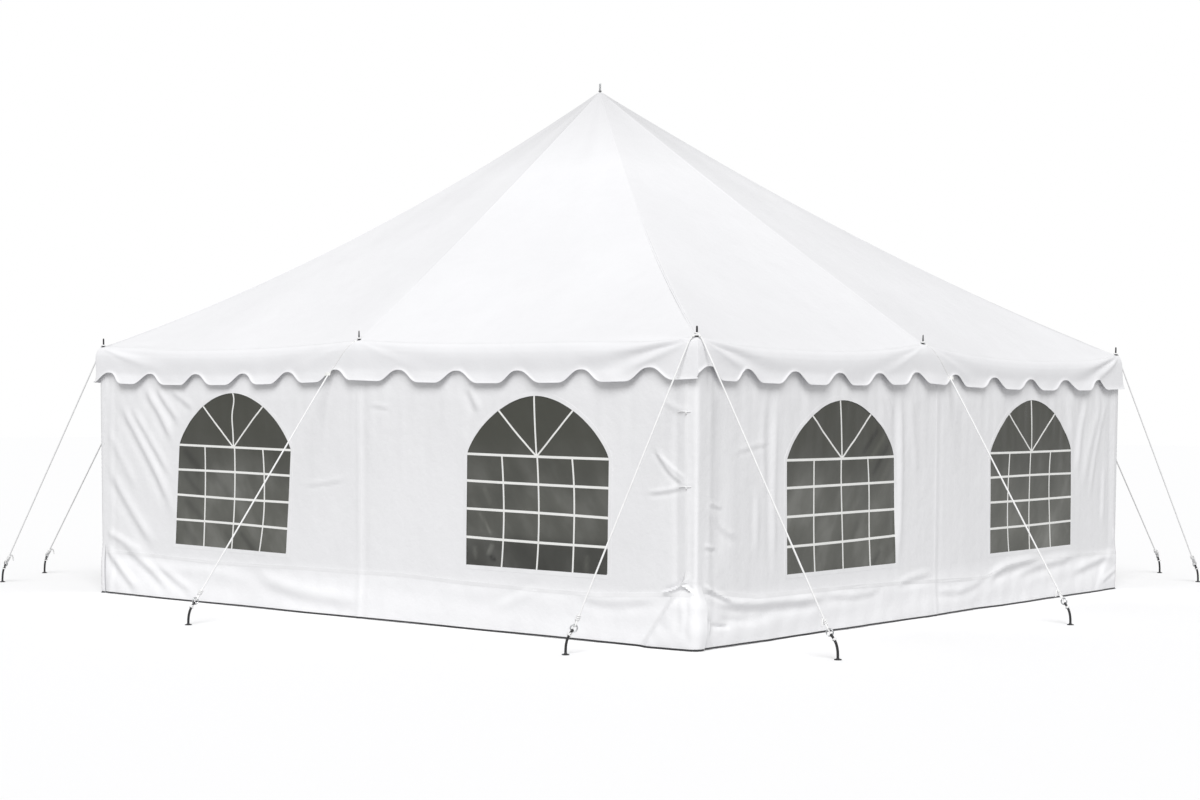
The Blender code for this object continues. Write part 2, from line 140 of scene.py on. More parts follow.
# how far out and high the tent's lines are, and how far its cloth sags from them
tent = {"poleLine": 3.025, "lean": 0.0135, "eave": 2.030, "peak": (-0.155, -0.127, 4.235), "wallOuter": 3.0513,
        "middleSag": 0.030, "eaveCurl": 5, "pinRadius": 0.007, "pinTip": 2.100,
        "hipSag": {"front_left": 0.17, "front_right": 0.20, "back_right": 0.12, "back_left": 0.15},
        "lowHeads": {"front_right": 0.036}, "lowReach": 0.26}  # a pole that stands lower, and how far that tells
pinLine = tent["poleLine"] + tent["lean"] * tent["eave"]
corners = {"front_left": (-1, -1), "front_right": (1, -1), "back_right": (1, 1), "back_left": (-1, 1)}
# windows: the middle of the sill, the middle of the arch's foot and the width; heights: sill, arch's foot, rise.
# gathers of the cloth at the pins, in order: how strong, at what turn in degrees, how taut straight below
sides = (
    {"name": "front", "start": "front_left", "end": "front_right", "pole": -0.020, "sag": 0.045, "seam": 0.005,
     "windows": ((-1.442, -1.390, 1.308), (1.703, 1.718, 1.268)), "heights": (0.448, 1.217, 0.420),
     "firstNotch": 0.170, "notchShifts": {0: 0.030, 4: -0.050, 5: -0.090},
     "gathers": ((0.62, -8.0, 0.2), (0.14, -2.0, 0.2), (1.05, -1.5, 1.0))},
    {"name": "right", "start": "front_right", "end": "back_right", "pole": -0.240, "sag": 0.085, "seam": -0.060,
     "windows": ((-1.330, -1.3625, 1.405), (1.493, 1.467, 1.386)), "heights": (0.430, 1.208, 0.411),
     "firstNotch": 0.095, "notchShifts": {0: 0.050, 1: -0.075, 2: -0.030},
     "gathers": ((1.0, 0.0, 1.0), (0.30, 1.0, 0.2), (0.8, 2.0, 0.9))},
    {"name": "back", "start": "back_right", "end": "back_left", "pole": 0.0, "sag": 0.070, "seam": 0.020,
     "windows": ((-1.500, -1.510, 1.340), (1.500, 1.490, 1.340)), "heights": (0.440, 1.212, 0.415),
     "firstNotch": 0.170, "notchShifts": {}, "gathers": ((0.9, -2.0, 0.8), (0.4, 0.0, 0.3), (0.9, 0.0, 0.6))},
    {"name": "left", "start": "back_left", "end": "front_left", "pole": 0.0, "sag": 0.064, "seam": 0.015,
     "windows": ((-1.500, -1.490, 1.340), (1.500, 1.510, 1.340)), "heights": (0.440, 1.212, 0.415),
     "firstNotch": 0.170, "notchShifts": {}, "gathers": ((0.8, 0.0, 0.6), (0.4, -1.0, 0.3), (0.8, -1.0, 0.5))},
)
for index, side in enumerate(sides):
    side["index"] = index
    side["turn"] = ((1, 0), (0, 1), (-1, 0), (0, -1))[index]
    side["middle"] = side["pole"] / pinLine
    side["pins"] = tuple(zip((-pinLine, side["pole"], pinLine), side["gathers"]))
sideNamed = {side["name"]: side for side in sides}


def sidePoints(side, along, reach, height):  # from a side's own frame to the tent's
    cosine, sine = side["turn"]
    along, reach, height = np.broadcast_arrays(along, reach, height)
    return np.stack((along * cosine + reach * sine, along * sine - reach * cosine, height), -1)


def outwards(side):
    return Vector(sidePoints(side, 0.0, 1.0, 0.0))


def smoothStep(x):
    x = np.clip(x, 0.0, 1.0)
    return x * x * (3 - 2 * x)


def bayShare(side, place):  # share of the way between two poles, place from -1 to 1
    middle = side["middle"]
    return np.clip(np.where(place < middle, (place + 1) / (middle + 1), (place - middle) / (1 - middle)), 0, 1)


def bayDip(side, place):
    share = bayShare(side, place)
    return 4 * share * (1 - share)


def headDip(side, place):  # how much lower the cloth lies round a low pole's head
    dip = 0.0
    for corner, end in ((side["start"], -1), (side["end"], 1)):
        if corner in tent["lowHeads"]:
            dip = dip + tent["lowHeads"][corner] * np.exp(-((place - end) / tent["lowReach"]) ** 2)
    return dip


def eaveDip(side, place):  # how far the eave lies below the pins' common height
    return side["sag"] * bayDip(side, place) + headDip(side, place)


def ownNoise(side, x, y, seed):  # smooth and repeatable, about -1 to 1, its own on each side
    draw = np.random.default_rng(seed + side["index"])
    total = 0
    for size in (1.0, 1.7, 2.6, 4.1):
        angle, phase = draw.uniform(0, math.pi), draw.uniform(0, 2 * math.pi)
        total = total + np.sin((x * math.cos(angle) + y * math.sin(angle)) * size + phase) / size
    return total / 1.6


def meshObject(name, points, faces, material, flatMap, smoothAngle=None):
    mesh = bpy.data.meshes.new(name)
    mesh.from_pydata([tuple(p) for p in points], [], [tuple(int(i) for i in face) for face in faces])
    layer = mesh.uv_layers.new(name="cloth")
    loops = np.empty(len(mesh.loops), np.int32)
    mesh.loops.foreach_get("vertex_index", loops)
    layer.data.foreach_set("uv", np.asarray(flatMap, np.float32)[loops].ravel())
    mesh.materials.append(material)
    mesh.validate()
    if smoothAngle is None:
        mesh.shade_smooth()
    else:
        mesh.set_sharp_from_angle(angle=math.radians(smoothAngle))
        mesh.polygons.foreach_set("use_smooth", [True] * len(mesh.polygons))
    return placed(name, mesh)


def thickened(piece, thickness):  # a sheet grows inwards to its real thickness
    bpy.context.view_layer.update()
    modifier = piece.modifiers.new("thickness", "SOLIDIFY")
    modifier.thickness = thickness
    bpy.ops.object.select_all(action="DESELECT")
    bpy.context.view_layer.objects.active = piece
    piece.select_set(True)
    bpy.ops.object.modifier_apply(modifier=modifier.name)
    piece.select_set(False)
    piece.data.set_sharp_from_angle(angle=math.radians(50))
    return piece


def dressed(piece, angle, *materials):
    piece.data.materials.clear()
    for material in materials:
        piece.data.materials.append(material)
    piece.data.shade_smooth()
    piece.data.set_sharp_from_angle(angle=math.radians(angle))


def finished(piece, slotName, *nodes):
    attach(piece, "root")
    if nodes:
        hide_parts(*nodes)
    return piece


class Parts:  # gathers many small closed forms into one piece
    def __init__(self):
        self.points, self.faces, self.maps = [], [], []

    def add(self, points, faces, maps=None):
        start = len(self.points)
        self.points.extend(points)
        self.faces.extend([tuple(i + start for i in face) for face in faces])
        self.maps.extend(maps if maps is not None else [(p[0] + p[1], p[2]) for p in points])

    def make(self, name, material, slotName, *nodes, smoothAngle=30):
        piece = meshObject(name, self.points, self.faces, material, self.maps, smoothAngle)
        work = bmesh.new()
        work.from_mesh(piece.data)
        bmesh.ops.recalc_face_normals(work, faces=work.faces)
        work.to_mesh(piece.data)
        work.free()
        return finished(piece, slotName, *nodes)


def stripFaces(count, ring, closed=False):  # the skin of a strip or tube with capped ends
    faces = []
    for k in range(count if closed else count - 1):
        after = (k + 1) % count
        for j in range(ring):
            beside = (j + 1) % ring
            faces.append((k * ring + j, k * ring + beside, after * ring + beside, after * ring + j))
    if not closed:
        faces.append(tuple(range(ring)))
        faces.append(tuple((count - 1) * ring + j for j in reversed(range(ring))))
    return faces


def travelled(line):  # how far along the line each of its points is
    return np.concatenate(([0], np.cumsum(np.linalg.norm(np.diff(line, axis=0), axis=1))))


def resampled(line, step, closed=False):
    line = np.asarray(line, float)
    if closed:
        line = np.vstack((line, line[:1]))
    gone = travelled(line)
    places = np.linspace(0, gone[-1], max(int(round(gone[-1] / step)), 2) + 1)
    places = places[:-1] if closed else places
    return np.stack([np.interp(places, gone, line[:, k]) for k in range(line.shape[1])], 1)


def rounded(line, times=2):  # cuts the corners of an open line
    line = np.asarray(line, float)
    for _ in range(times):
        before, after = line[:-1], line[1:]
        cut = np.stack((before * 0.75 + after * 0.25, before * 0.25 + after * 0.75), 1).reshape(-1, line.shape[1])
        line = np.vstack((line[:1], cut[1:-1], line[-1:]))
    return line


def ribbon(parts, surface, side, line, width, thickness, step=0.025, closed=False):
    # a flat strip on a surface, whose function takes (side, along, height, lift) and gives points
    line = resampled(line, step, closed)
    ahead = np.roll(line, -1, axis=0) if closed else np.vstack((line[1:], line[-1:]))
    behind = np.roll(line, 1, axis=0) if closed else np.vstack((line[:1], line[:-1]))
    run = ahead - behind
    run /= np.maximum(np.linalg.norm(run, axis=1, keepdims=True), 1e-9)
    sideways = np.stack((-run[:, 1], run[:, 0]), 1)
    inset = min(thickness * 0.6, width * 0.2)
    rows = []
    for share, lift in ((-0.5, -0.0004), (0.5, -0.0004), (0.5 - inset / width, thickness),
                        (inset / width - 0.5, thickness)):
        edge = line + sideways * width * share
        rows.append(surface(side, edge[:, 0], edge[:, 1], np.full(len(edge), lift)))
    maps = [(gone, across * width) for gone in travelled(line) for across in (-0.5, 0.5, 0.45, -0.45)]
    parts.add(np.stack(rows, 1).reshape(-1, 3), stripFaces(len(line), 4, closed), maps)


def tube(parts, path, radius, ring=12, strands=0, pitch=0.04):
    # a round tube along a path, its section lobed and twisted where it has strands
    run = np.gradient(path, axis=0)
    run /= np.linalg.norm(run, axis=1, keepdims=True)
    helper = Vector((0, 0, 1)) if abs(run[0][2]) < 0.9 else Vector((1, 0, 0))
    last = Vector(run[0])
    normal = last.cross(helper).normalized()
    frames = []
    for direction in run:
        now = Vector(direction)
        normal = last.rotation_difference(now) @ normal
        normal = (normal - now * normal.dot(now)).normalized()
        frames.append((tuple(normal), tuple(now.cross(normal))))
        last = now
    frames = np.array(frames)
    gone = travelled(path)
    angles = np.arange(ring) * 2 * math.pi / ring
    radii = np.full((len(path), ring), float(radius))
    if strands:
        phase = angles[None, :] - gone[:, None] * 2 * math.pi / pitch
        radii = radii * (0.88 + 0.12 * np.abs(np.cos(phase * strands / 2)))
    points = (path[:, None, :] + frames[:, 0][:, None, :] * (np.cos(angles)[None, :] * radii)[..., None]
              + frames[:, 1][:, None, :] * (np.sin(angles)[None, :] * radii)[..., None])
    maps = [(far, angle * 0.005) for far in gone for angle in angles]
    parts.add(points.reshape(-1, 3), stripFaces(len(path), ring), maps)


def insidePolygon(points, polygon):
    x, y = points.T
    inside = np.zeros(len(x), bool)
    for (x0, y0), (x1, y1) in zip(polygon, np.roll(polygon, -1, axis=0)):
        if y1 != y0:
            inside ^= ((y0 > y) != (y1 > y)) & (x < (x1 - x0) * (y - y0) / (y1 - y0) + x0)
    return inside


def fromSegment(x, y, start, run):  # the distance of points from a straight piece, and their share of its length
    share = np.clip(((x - start[0]) * run[0] + (y - start[1]) * run[1]) / max(run[0] ** 2 + run[1] ** 2, 1e-12), 0, 1)
    return np.hypot(x - start[0] - share * run[0], y - start[1] - share * run[1]), share


def nearestEdge(points, polygon):
    best = np.full(len(points), 1e9)
    for start, end in zip(polygon, np.roll(polygon, -1, axis=0)):
        best = np.minimum(best, fromSegment(*points.T, start, end - start)[0])
    return best


def nearLine(line, x, z):  # distance, hand and progress of points along an open line
    line = rounded(line)
    gone = travelled(line)
    best, hand, progress = np.full(x.shape, 1e9), np.ones(x.shape), np.zeros(x.shape)
    for k, start in enumerate(line[:-1]):
        run = line[k + 1] - start
        distance, share = fromSegment(x, z, start, run)
        closer = distance < best
        best = np.where(closer, distance, best)
        hand = np.where(closer, np.sign(run[0] * (z - start[1]) - run[1] * (x - start[0])), hand)
        progress = np.where(closer, (gone[k] + share * (gone[k + 1] - gone[k])) / gone[-1], progress)
    return best, hand, progress


def latticeRows(low, high, spacing):
    rows = []
    for number, y in enumerate(np.arange(low[1] + spacing * 0.6, high[1], spacing * 0.866)):
        x = np.arange(low[0] + spacing * (0.5 + 0.5 * (number % 2)), high[0], spacing)
        rows.append(np.stack((x, np.full(len(x), y)), 1))
    return np.vstack(rows)


def flatTriangles(outline, holes, spacing, fine=()):
    # an even triangle mesh between an outline and its holes, in a side's flat coordinates,
    # closer in the boxes named in fine, each (left, bottom, right, top, spacing)
    loops = [resampled(loop, spacing, True) for loop in [outline] + holes]
    inner = latticeRows(loops[0].min(0), loops[0].max(0), spacing)
    for left, bottom, right, top, closer in fine:
        inside = (inner[:, 0] > left) & (inner[:, 0] < right) & (inner[:, 1] > bottom) & (inner[:, 1] < top)
        inner = np.vstack((inner[~inside], latticeRows((left, bottom), (right, top), closer)))

    def onCloth(points):
        keep = insidePolygon(points, loops[0])
        for hole in loops[1:]:
            keep &= ~insidePolygon(points, hole)
        return keep

    inner = inner[onCloth(inner)]
    edges, start = [], 0
    for loop in loops:
        inner = inner[nearestEdge(inner, loop) > spacing * 0.55]
        count = len(loop)
        edges += [(start + k, start + (k + 1) % count) for k in range(count)]
        start += count
    flat, _, faces, *_ = delaunay_2d_cdt([Vector(p) for p in np.vstack(loops + [inner])], edges, [], 0, 1e-7)
    flat = np.array([tuple(p) for p in flat])
    faces = np.array([list(face) for face in faces])
    return flat, faces[onCloth(flat[faces].mean(1))]


def noise(tree, vector, scale, detail=3.0, roughness=0.5):
    return add(tree, "TexNoise", {"Vector": vector, "Scale": scale, "Detail": detail, "Roughness": roughness})


def scaled(tree, vector, scale):
    return add(tree, "Mapping", {"Vector": vector, "Scale": scale})


def times(colour, share):
    return tuple(min(c * share, 1) for c in colour)


def ramp(tree, value, *stops):  # each stop is a position and a colour, or a grey
    node = tree.nodes.new("ShaderNodeValToRGB")
    elements = node.color_ramp.elements
    while len(elements) < len(stops):
        elements.new(0.5)
    for element, (position, colour) in zip(elements, stops):
        element.position = position
        element.color = (*(np.ones(3) * colour), 1)
    feed(node, {"Fac": value})
    return node.outputs["Color"]


def bump(tree, height, distance, strength=1.0, before=None):
    inputs = {"Strength": strength, "Distance": distance, "Height": height}
    return add(tree, "Bump", inputs if before is None else {**inputs, "Normal": before})


def blend(tree, value, low, high, tone, colour, full=1.0):  # another colour where a value nears its high end
    level = add(tree, "MapRange", {"Value": value, "From Min": low, "From Max": high, "To Max": full})
    return add(tree, "MixRGB", {"Fac": level, "Color1": tone, "Color2": (*colour, 1)})


def vinyl(name, colour, crumple, paintedBounceBelow=None, paintedPeakShade=False):
    # coated fabric: a fine scrim weave under the coating, soft handling creases, faint marks
    material, tree, shader, spot = newMaterial(name, colour, 0.46, 0.42)
    tone = ramp(tree, noise(tree, spot, 0.9, 4.0), (0.3, times(colour, 0.975)), (0.7, times(colour, 1.015)))
    if paintedBounceBelow is not None:  # the skirt is cut from a whiter roll
        # painted light: the skirt below its weld is painted whiter, standing in for light bounced up from the floor
        height = add(tree, "SeparateXYZ", {"Vector": spot}, "Z")
        tone = blend(tree, height, paintedBounceBelow + 0.04, paintedBounceBelow - 0.06, tone, times(colour, 1.09))
    if paintedPeakShade:  # painted shade: the roof is painted darker towards the peak
        away = add(tree, "VectorMath", {0: spot, 1: tent["peak"]}, "Value", operation="DISTANCE")
        tone = blend(tree, away, 1.3, 0.1, tone, times(colour, 0.84))
    cloth = add(tree, "UVMap", {}, uv_map="cloth")
    threads = [add(tree, "TexWave", {"Vector": cloth, "Scale": 160.0, "Distortion": 0.4}, "Fac", bands_direction=way)
               for way in "XY"]
    weave = add(tree, "Math", {0: threads[0], 1: threads[1]}, operation="MULTIPLY")
    fine = bump(tree, noise(tree, spot, 55.0), 0.0012, 0.5, bump(tree, noise(tree, spot, 7.0, 5.0, 0.55), crumple))
    feed(shader, {"Base Color": tone, "Normal": bump(tree, weave, 0.00012, 0.6, fine),
                  "Roughness": ramp(tree, noise(tree, spot, 6.0), (0.25, 0.38), (0.8, 0.54))})
    return material


def clearFilm():
    # smoke tinted sheet: nearly black and glossy, with lazy ripples and soft slanting bands of painted sky reflection
    material, tree, shader, spot = newMaterial("smokeFilm", (0.050, 0.051, 0.044), 0.16)
    slant = Vector((-0.5, 0.5, 0.7)).rotation_difference(Vector((0, 0, 1))).to_euler()
    slanted = scaled(tree, add(tree, "Mapping", {"Vector": spot, "Rotation": slant}), (3.0, 3.0, 0.8))
    # the bands keep about half their strength
    quiet = add(tree, "Math", {0: noise(tree, slanted, 1.25), 1: 0.55, 2: 0.21}, operation="MULTIPLY_ADD")
    tone = ramp(tree, quiet, (0.30, (0.043, 0.044, 0.038)), (0.48, (0.072, 0.073, 0.064)),
                (0.70, (0.150, 0.151, 0.140)))
    height = add(tree, "SeparateXYZ", {"Vector": spot}, "Z")  # painted reflection: the arch's sheet is painted darker, as it looks up at less of the pale ground
    tone = blend(tree, height, 1.00, 1.35, tone, (0.052, 0.053, 0.042), 0.85)
    own = add(tree, "Attribute", {}, "Fac", attribute_name="paintedLight")  # and each sheet has its own painted streaks of reflection and painted shade
    gain = add(tree, "Math", {0: own, 1: 3.2, 2: 1.0}, operation="MULTIPLY_ADD")
    tone = add(tree, "VectorMath", {0: tone, "Scale": gain}, operation="SCALE")
    feed(shader, {"Base Color": tone, "Roughness": ramp(tree, noise(tree, spot, 5.0, 4.0), (0.3, 0.12), (0.75, 0.26)),
                  "Normal": bump(tree, noise(tree, scaled(tree, spot, (1, 1, 0.5)), 4.0, 2.0), 0.006)})
    return material


def weldedStrip(name, colour):
    material, tree, shader, spot = newMaterial(name, colour, 0.4, 0.45)
    feed(shader, {"Base Color": ramp(tree, noise(tree, spot, 9.0), (0.3, times(colour, 0.95)), (0.7, colour)),
                  "Normal": bump(tree, noise(tree, spot, 260.0, 2.0), 0.0003)})
    return material


def laidRope(name, colour):
    # twisted rope: its fine yarns lie along the strands, a little fuzzy and unevenly soiled
    material, tree, shader, spot = newMaterial(name, colour, 0.75, 0.3)
    yarn = add(tree, "TexWave", {"Vector": add(tree, "UVMap", {}, uv_map="cloth"), "Scale": 220.0, "Distortion": 1.5},
               "Fac", bands_direction="DIAGONAL")
    fuzz = bump(tree, noise(tree, spot, 900.0, 2.0), 0.00015)
    feed(shader, {"Base Color": ramp(tree, noise(tree, spot, 30.0, 4.0), (0.3, times(colour, 0.92)), (0.65, colour)),
                  "Normal": bump(tree, yarn, 0.0003, 0.5, fuzz)})
    return material


def paintedSteel(name, colour, roughness):
    material, tree, shader, spot = newMaterial(name, colour, roughness)
    wear = noise(tree, spot, 60.0, 5.0, 0.6)
    worn = tuple(min(c * 2.2 + 0.02, 1) for c in colour)
    feed(shader, {"Base Color": ramp(tree, wear, (0.52, colour), (0.78, worn)),
                  "Roughness": ramp(tree, wear, (0.3, roughness - 0.1), (0.8, roughness + 0.25)),
                  "Normal": bump(tree, noise(tree, spot, 350.0, 4.0), 0.0004)})
    return material


def galvanised(name):
    material, tree, shader, spot = newMaterial(name, (0.55, 0.56, 0.57), 0.38, 0.5, 1.0)
    spangle = add(tree, "TexVoronoi", {"Vector": scaled(tree, spot, (1, 1, 0.45)), "Scale": 70.0}, "Color")
    gloss = noise(tree, scaled(tree, spot, (1, 1, 0.2)), 90.0, 4.0)
    feed(shader, {"Base Color": ramp(tree, spangle, (0.1, (0.42, 0.43, 0.44)), (0.9, (0.66, 0.67, 0.68))),
                  "Roughness": ramp(tree, gloss, (0.3, 0.26), (0.8, 0.5)),
                  "Normal": bump(tree, noise(tree, spot, 240.0), 0.0002)})
    return material


finish = {
    "roof": vinyl("roofVinyl", (0.822, 0.822, 0.838), 0.004, None, True),
    "wall": vinyl("wallVinyl", (0.812, 0.812, 0.825), 0.006, 0.34),
    "film": clearFilm(),
    "strip": weldedStrip("barVinyl", (0.85, 0.85, 0.83)),
    "weld": weldedStrip("wallWeld", (0.828, 0.828, 0.840)),
    "roofWeld": weldedStrip("roofWeld", (0.832, 0.832, 0.848)),
    # painted shade: a black strip standing in for the dark shadow gap under each wall's hem
    "hem": weldedStrip("footShadowTape", (0.030, 0.030, 0.032)),
    "rope": laidRope("guyRope", (0.87, 0.87, 0.87)),
    "lace": laidRope("laceCord", (0.88, 0.88, 0.885)),
    "black": paintedSteel("blackSteel", (0.016, 0.016, 0.017), 0.38),
    "zinc": galvanised("galvanisedSteel"),
}
print("materials are mixed")

roof = {
    "columns": 50,  # wide columns in each bay
    "split": 3,  # narrow columns of the valance for each wide one
    "rows": 30, "firstRow": 0.0045, "thickness": 0.0014,
    # how far out and down the eave's rows are, and how much a furrow lifts them out and up
    "shoulder": ((0.0060, 0.0013, 0.25, 0.97), (0.0120, 0.0036, 0.4, 0.9), (0.0180, 0.0066, 0.5, 0.85),
                 (0.0240, 0.0110, 0.6, 0.78), (0.0295, 0.0170, 0.7, 0.7), (0.0345, 0.0245, 0.8, 0.6),
                 (0.0382, 0.0325, 0.87, 0.48), (0.0412, 0.0405, 0.93, 0.35), (0.0438, 0.0490, 0.97, 0.23),
                 (0.0460, 0.0575, 1.0, 0.1)),
    "skirtTop": 0.066, "skirtOut": 0.0480, "skirtRows": 15, "notches": 11,
    "lobeDrop": 0.293, "lobeSag": 0.030, "notchDepth": 0.086, "notchHalf": 0.210, "lobeFlat": 0.12,
    "hollow": 0.0080,  # how far the valance draws in under the eave, between the pins
    "flare": 0.015,  # and how far its scallops kick out
    "rim": 0.0065, "rimBand": 0.034,  # its very edge curls outwards
    "pinHem": 0.053,  # the hem's reach straight below a pin
    "cornerRound": 0.006, "furrow": 0.058, "furrowLength": 0.55,
    "bulge": 0.0028, "ripple": 0.0022, "peakPulls": 0.006,
    # at a taut pin: how much the eave is drawn in, and how far out the valance begins
    "pinHold": 0.16, "pinTop": 0.040,
    "mapHalf": 3.05, "mapDown": 3.75,  # the cloth's own flat measures
    "seamWidth": 0.026, "seamThickness": 0.0007,
}


def lobeDrop(side, place):
    return roof["lobeDrop"] + roof["lobeSag"] * bayDip(side, place)


def hemDrop(side, place):  # how far the scalloped hem hangs below the pins
    length, count = 2 * (pinLine + roof["skirtOut"]), roof["notches"]
    half, notches = length / 2, []
    toPole = half + side["pole"]
    for number in range(count):
        along = side["firstNotch"] + length / count * number
        along = along * toPole / half if along < half else toPole + (along - half) * (length - toPole) / half
        notches.append(along + side["notchShifts"].get(number, 0.0))
    notches = np.array(notches)
    offset = ((place + 1) / 2 * length)[..., None] - notches
    halves = roof["notchHalf"] * np.random.default_rng(200 + side["index"]).uniform(0.88, 1.17, (2, count))
    room = (np.diff(notches) - roof["lobeFlat"]) / 2
    halves[0, 1:] = np.minimum(halves[0, 1:], room)
    halves[1, :-1] = np.minimum(halves[1, :-1], room)
    away = np.minimum((np.abs(offset) / np.where(offset < 0, halves[0], halves[1])).min(-1), 1)
    return lobeDrop(side, place) - roof["notchDepth"] * (1 - away ** 3 * (10 - 15 * away + 6 * away ** 2))


def localHem(side, place):  # the hem's drop, measured from the sagging eave
    return hemDrop(side, place) + 0.25 * headDip(side, place) - eaveDip(side, place)


def furrows(side, x, below, hung=1.0):
    # the gathers that run out from each pin, at x along the side and below the pins' common height;
    # hung is 1 where a low pin's gathers start lower with it
    lift = np.zeros(np.broadcast_shapes(np.shape(x), np.shape(below)))
    for pin, (strength, turn, _) in side["pins"]:
        away = np.abs(x - pin)
        under = below - hung * headDip(side, pin / pinLine)
        far = np.hypot(away, under)
        angle = np.degrees(np.arctan2(under, np.maximum(away, 1e-4))) - turn
        form = 0
        for height, middle, width in ((0.8, 8, 3.2), (-1, 15, 4), (0.7, 21, 3.2), (-0.6, 2, 3.5), (0.3, -8, 5)):
            form = form + height * np.exp(-((angle - middle) / width) ** 2)
        strong = (far + 0.05) * smoothStep(far / 0.11)
        lift = lift + strength * form * strong * np.exp(-(far / roof["furrowLength"]) ** 2)
    return lift * roof["furrow"]


def roofPoints(side, place, share):  # place across a side, share of the way down from the peak
    place, share = np.broadcast_arrays(np.asarray(place, float), np.asarray(share, float))
    bay = bayShare(side, place)
    start, end, middle = tent["hipSag"][side["start"]], tent["hipSag"][side["end"]], tent["middleSag"]
    sag = np.where(place < side["middle"], start * (1 - bay) + middle * bay, middle * (1 - bay) + end * bay)
    peak = np.array(tent["peak"])
    points = peak + (sidePoints(side, place * pinLine, pinLine, tent["eave"]) - peak) * share[..., None]
    points[..., 2] -= 4 * share * (1 - share) * sag
    points[..., 2] -= eaveDip(side, place) * share ** tent["eaveCurl"]
    # long soft pulls from the peak, and the short gathers at each pin
    pull = ownNoise(side, place * 5.0, share * 2.0, 11) * smoothStep(share * 5) * smoothStep((1 - share) * 6)
    points[..., 2] += roof["peakPulls"] * pull
    points[..., 2] += furrows(side, place * pinLine, (share - 1) * 3.7, 0.0) * 0.9
    return points


def nearPin(side, place, drop):  # 1 straight below a taut pin, 0 between them
    near = 0.0
    for pin, (_, _, taut) in side["pins"]:
        near = near + taut * (1 - smoothStep((np.abs(place * pinLine - pin) / (0.03 + drop) - 0.9) / 1.1))
    return near


def skirtOut(side, place, drop):  # how far the valance stands out from the pins at a drop below the eave
    along, sag = place * pinLine, eaveDip(side, place)
    hollow = roof["hollow"] * smoothStep((drop - 0.085) / 0.14) - roof["bulge"] * smoothStep((drop - 0.05) / 0.06)
    hollow = hollow * (1 + 0.35 * ownNoise(side, along * 2.3, drop, 41))
    kick = roof["flare"] * smoothStep((drop - lobeDrop(side, place) + sag + 0.090) / 0.090)
    kick = kick * np.clip(0.75 + 0.75 * ownNoise(side, along * 5.3, 0.3, 31), 0.05, 1.6)
    ripple = roof["ripple"] * ownNoise(side, along * 11.0, drop * 4, 51) * smoothStep((drop - 0.05) / 0.12)
    loose = roof["skirtOut"] - hollow + kick + ripple
    taut = roof["pinTop"] + (roof["pinHem"] - roof["pinTop"]) * (drop - roof["skirtTop"]) / 0.22
    near = nearPin(side, place, drop)
    rim = roof["rim"] * np.clip(1 - (localHem(side, place) - drop) / roof["rimBand"], 0, 1.2) ** 2
    return loose * (1 - near) + taut * near + rim + furrows(side, along, drop + sag)


def clothOut(side, place, drop):  # the roof cloth's reach at any drop over the eave
    outs, downs = ([0.0] + [row[k] for row in roof["shoulder"]] for k in (0, 1))
    shoulder = np.interp(drop, downs, outs) * (1 - roof["pinHold"] * nearPin(side, place, drop))
    return np.where(drop < roof["skirtTop"], shoulder, skirtOut(side, place, drop))


def skirtPoints(side, place, out, drop):  # round corners, sagging with the eave
    place, out, drop = np.broadcast_arrays(np.asarray(place, float), out, drop)
    reach = pinLine + out
    x, y = place * reach, reach.copy()
    radius = roof["cornerRound"] * smoothStep(out / 0.04)
    into = np.abs(x) - (reach - radius)  # how far into the corner's square
    turning = into > 0
    angle = np.where(turning, into / np.maximum(radius, 1e-6) * math.pi / 4, 0)
    x = np.where(turning, np.sign(x) * (reach - radius + radius * np.sin(angle)), x)
    y = np.where(turning, reach - radius + radius * np.cos(angle), y)
    return sidePoints(side, x, y, tent["eave"] - eaveDip(side, place) - drop)


def valancePoints(side, along, height, lift):
    place = along / pinLine
    return skirtPoints(side, place, skirtOut(side, place, -height) + lift, -height)


